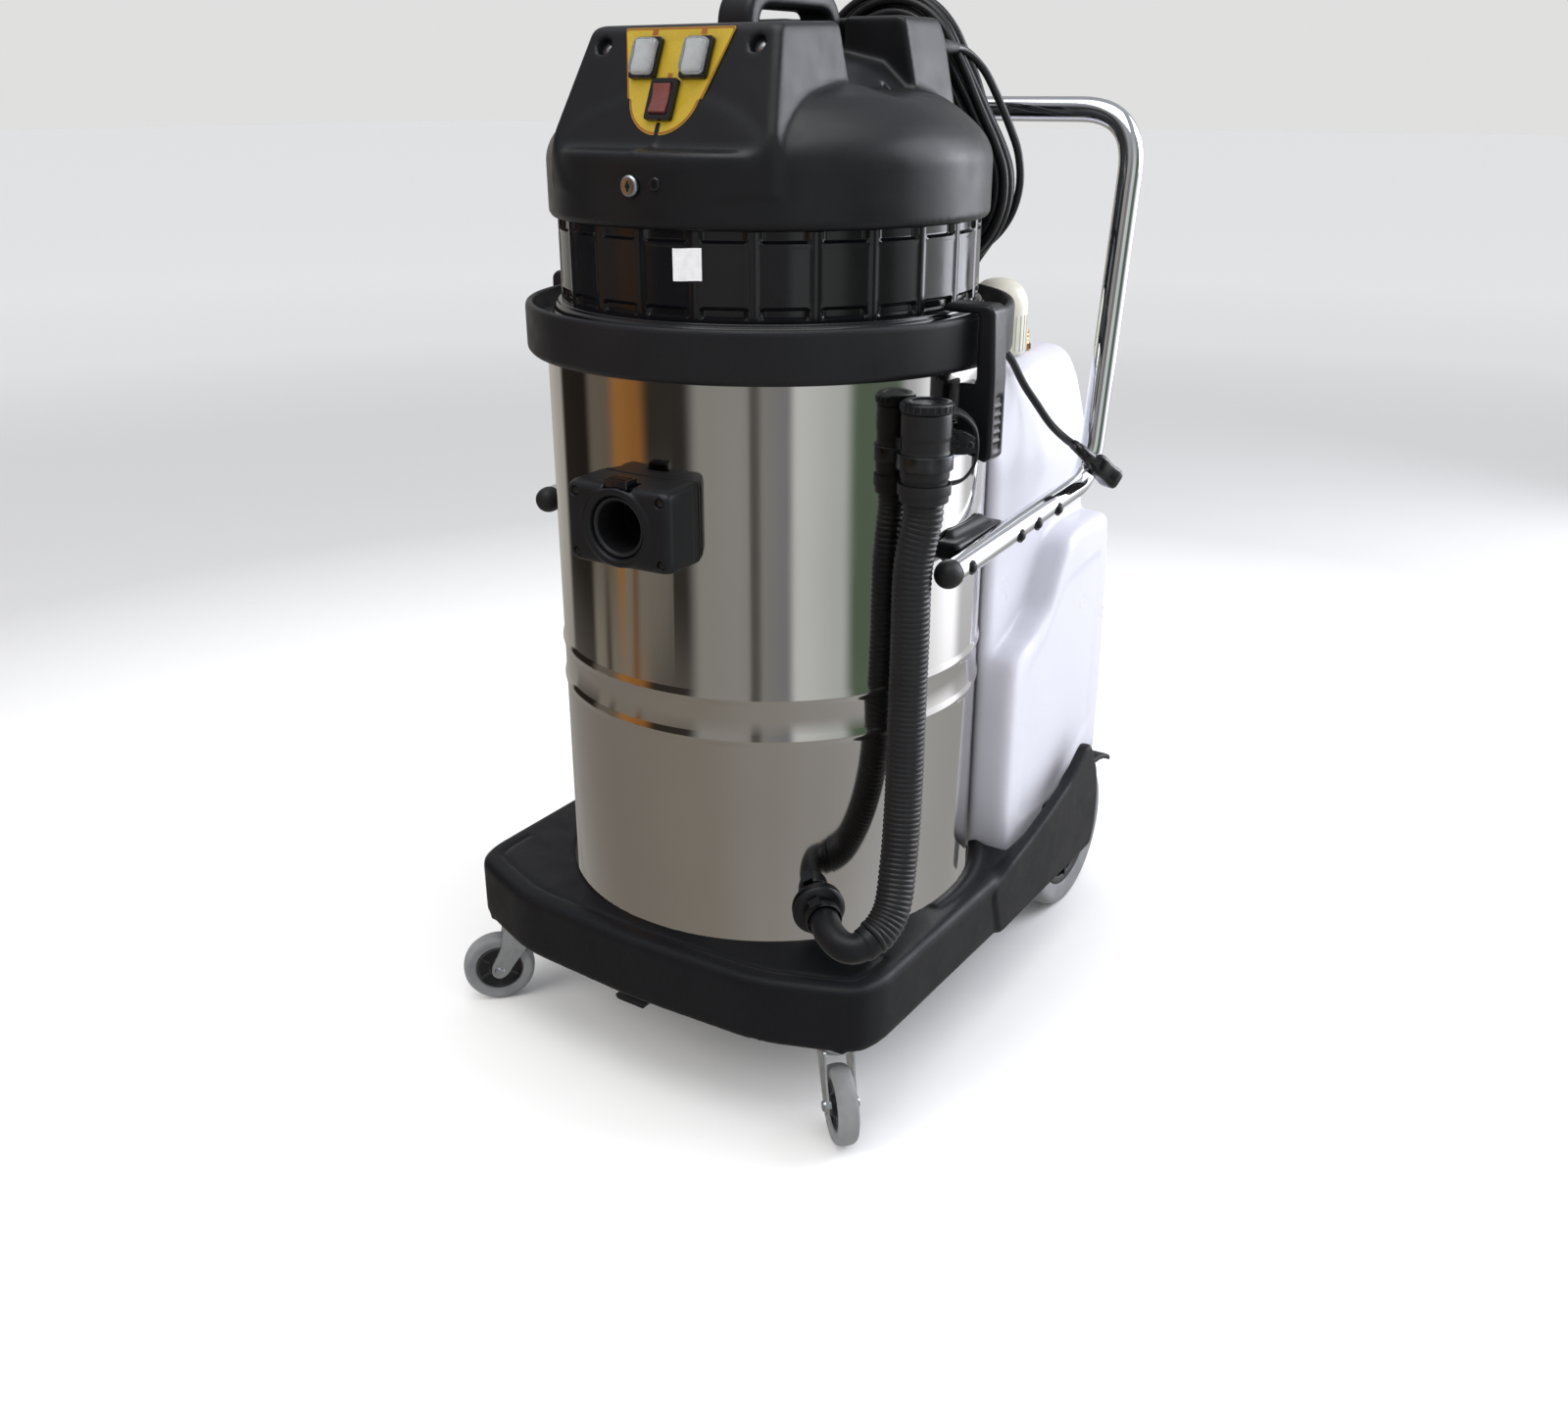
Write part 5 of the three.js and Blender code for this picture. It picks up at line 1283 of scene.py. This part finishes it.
# What the room shows to reflections: degrees round from the front, positive towards +X, and a colour.
STANDS = [(-180, 0.9, 0.9, 0.92), (-165, 0.5, 0.5, 0.5), (-120, 0.6, 0.57, 0.53), (-104, 0.54, 0.51, 0.46),
    (-98, 0.03, 0.025, 0.02), (-76, 0.025, 0.02, 0.016), (-69, 0.2, 0.17, 0.14), (-58, 0.2, 0.16, 0.12),
    (-50, 0.46, 0.21, 0.06), (-38, 0.4, 0.17, 0.045), (-29, 0.045, 0.038, 0.03), (-11, 0.045, 0.04, 0.035),
    (-2, 0.4, 0.39, 0.36), (18, 0.42, 0.4, 0.38), (22, 0.4, 0.38, 0.36), (24.5, 0.13, 0.12, 0.11),
    (27, 0.15, 0.14, 0.13), (30, 0.34, 0.33, 0.32), (42, 0.3, 0.3, 0.3), (47, 0.85, 0.87, 0.86),
    (70, 0.7, 0.73, 0.71), (78, 0.14, 0.19, 0.13), (100, 0.16, 0.2, 0.15), (108, 0.7, 0.72, 0.74),
    (124, 1.5, 1.52, 1.58), (146, 2.2, 2.22, 2.35), (158, 0.95, 0.96, 1.0), (180, 0.9, 0.9, 0.92)]
BELOW = [  # in front, under the horizon
    (-72, 0.34, 0.3, 0.25), (-66, 0.3, 0.27, 0.22), (-62, 0.05, 0.04, 0.03), (-58, 0.28, 0.25, 0.2),
    (-46, 0.3, 0.26, 0.21), (-42, 0.2, 0.1, 0.04), (-38, 0.27, 0.24, 0.2), (-12, 0.22, 0.2, 0.17)]
GROUND = [(-180, 0.5, 0.49, 0.47), (-70, 0.3, 0.27, 0.235), (-10, 0.33, 0.3, 0.26), (30, 0.4, 0.375, 0.345),
    (60, 0.44, 0.42, 0.4), (115, 0.62, 0.62, 0.62), (180, 0.5, 0.49, 0.47)]
UP = (0.5, 0.52, 0.56)
SOFT = [(0.0, 0.62, 0.62, 0.63), (0.5, 0.72, 0.72, 0.74), (1.0, 0.95, 0.96, 1.0)]  # lights the surfaces
SHOWN = [(0.5, 0.93, 0.93, 0.925), (0.6, 0.95, 0.95, 0.95), (1.0, 0.98, 0.98, 0.98)]


def sky():
    """A pale studio: an even backdrop, soft light, and a room of stands for the reflections."""
    world = bpy.data.worlds.new("studio")
    bpy.context.scene.world = world
    graph = Graph(world)
    background = graph.nodes["Background"]
    x, y, z = graph.node("SeparateXYZ", [graph.node("TexCoord").outputs["Generated"]]).outputs

    def worked(operation, *values):
        return graph.node("Math", values, operation=operation).outputs[0]

    def clamped(slope, start):
        """0 to 1 with the height of the view line."""
        return graph.node("Clamp", [worked("MULTIPLY_ADD", z, slope, start)]).outputs[0]

    def room_ramp(rows):
        return graph.ramp(turn, [((degrees + 180) / 360, *color) for degrees, *color in rows])

    around = worked("ARCTAN2", x, worked("MULTIPLY", y, -1.0))
    turn = worked("MULTIPLY_ADD", around, 1 / (2 * math.pi), 0.5)
    below = sorted([stop for stop in STANDS if not -73 < stop[0] < -3] + BELOW)
    room = graph.mix(clamped(-25.0, -5.7), room_ramp(STANDS), room_ramp(below))
    room = graph.mix(clamped(-7.0, -1.75), room, room_ramp(GROUND))  # from 15 degrees down
    room = graph.mix(clamped(2.2, -0.55), room, UP)
    height = worked("MULTIPLY_ADD", z, 0.5, 0.5)
    rays = graph.node("LightPath").outputs
    lit = graph.mix(rays["Is Glossy Ray"], graph.ramp(height, SOFT), room)
    graph.feed(background.inputs["Color"], graph.mix(rays["Is Camera Ray"], lit, graph.ramp(height, SHOWN)))
    background.inputs["Strength"].default_value = 0.8


sky()


def softbox(name, azimuth, elevation, distance, size, power, color, aim=(0, -0.05, 0.6), glossy=True):
    """A square soft light. Azimuth 0 is in front of the machine, and 90 at its right."""
    light = bpy.data.lights.new(name, "AREA")
    light.size = size
    light.energy = power
    light.color = color
    obj = bpy.data.objects.new(name, light)
    bpy.context.scene.collection.objects.link(obj)
    a, e = math.radians(azimuth), math.radians(elevation)
    out = Vector((math.sin(a) * math.cos(e), -math.cos(a) * math.cos(e), math.sin(e)))
    obj.location = Vector(aim) + out * distance
    obj.rotation_mode = "QUATERNION"
    obj.rotation_quaternion = (-out).to_track_quat("-Z", "Y")
    obj.visible_glossy = glossy


softbox("window_low", 150, 6, 2.8, 1.3, 18, (0.9, 0.93, 1.0))
softbox("window_right", 132, 28, 2.6, 1.7, 40, (0.9, 0.93, 1.0))
softbox("overhead", 20, 78, 2.6, 2.4, 40, (1.0, 0.99, 0.97))
softbox("front_fill", -25, 24, 3.0, 2.0, 42, (1.0, 0.97, 0.93), glossy=False)
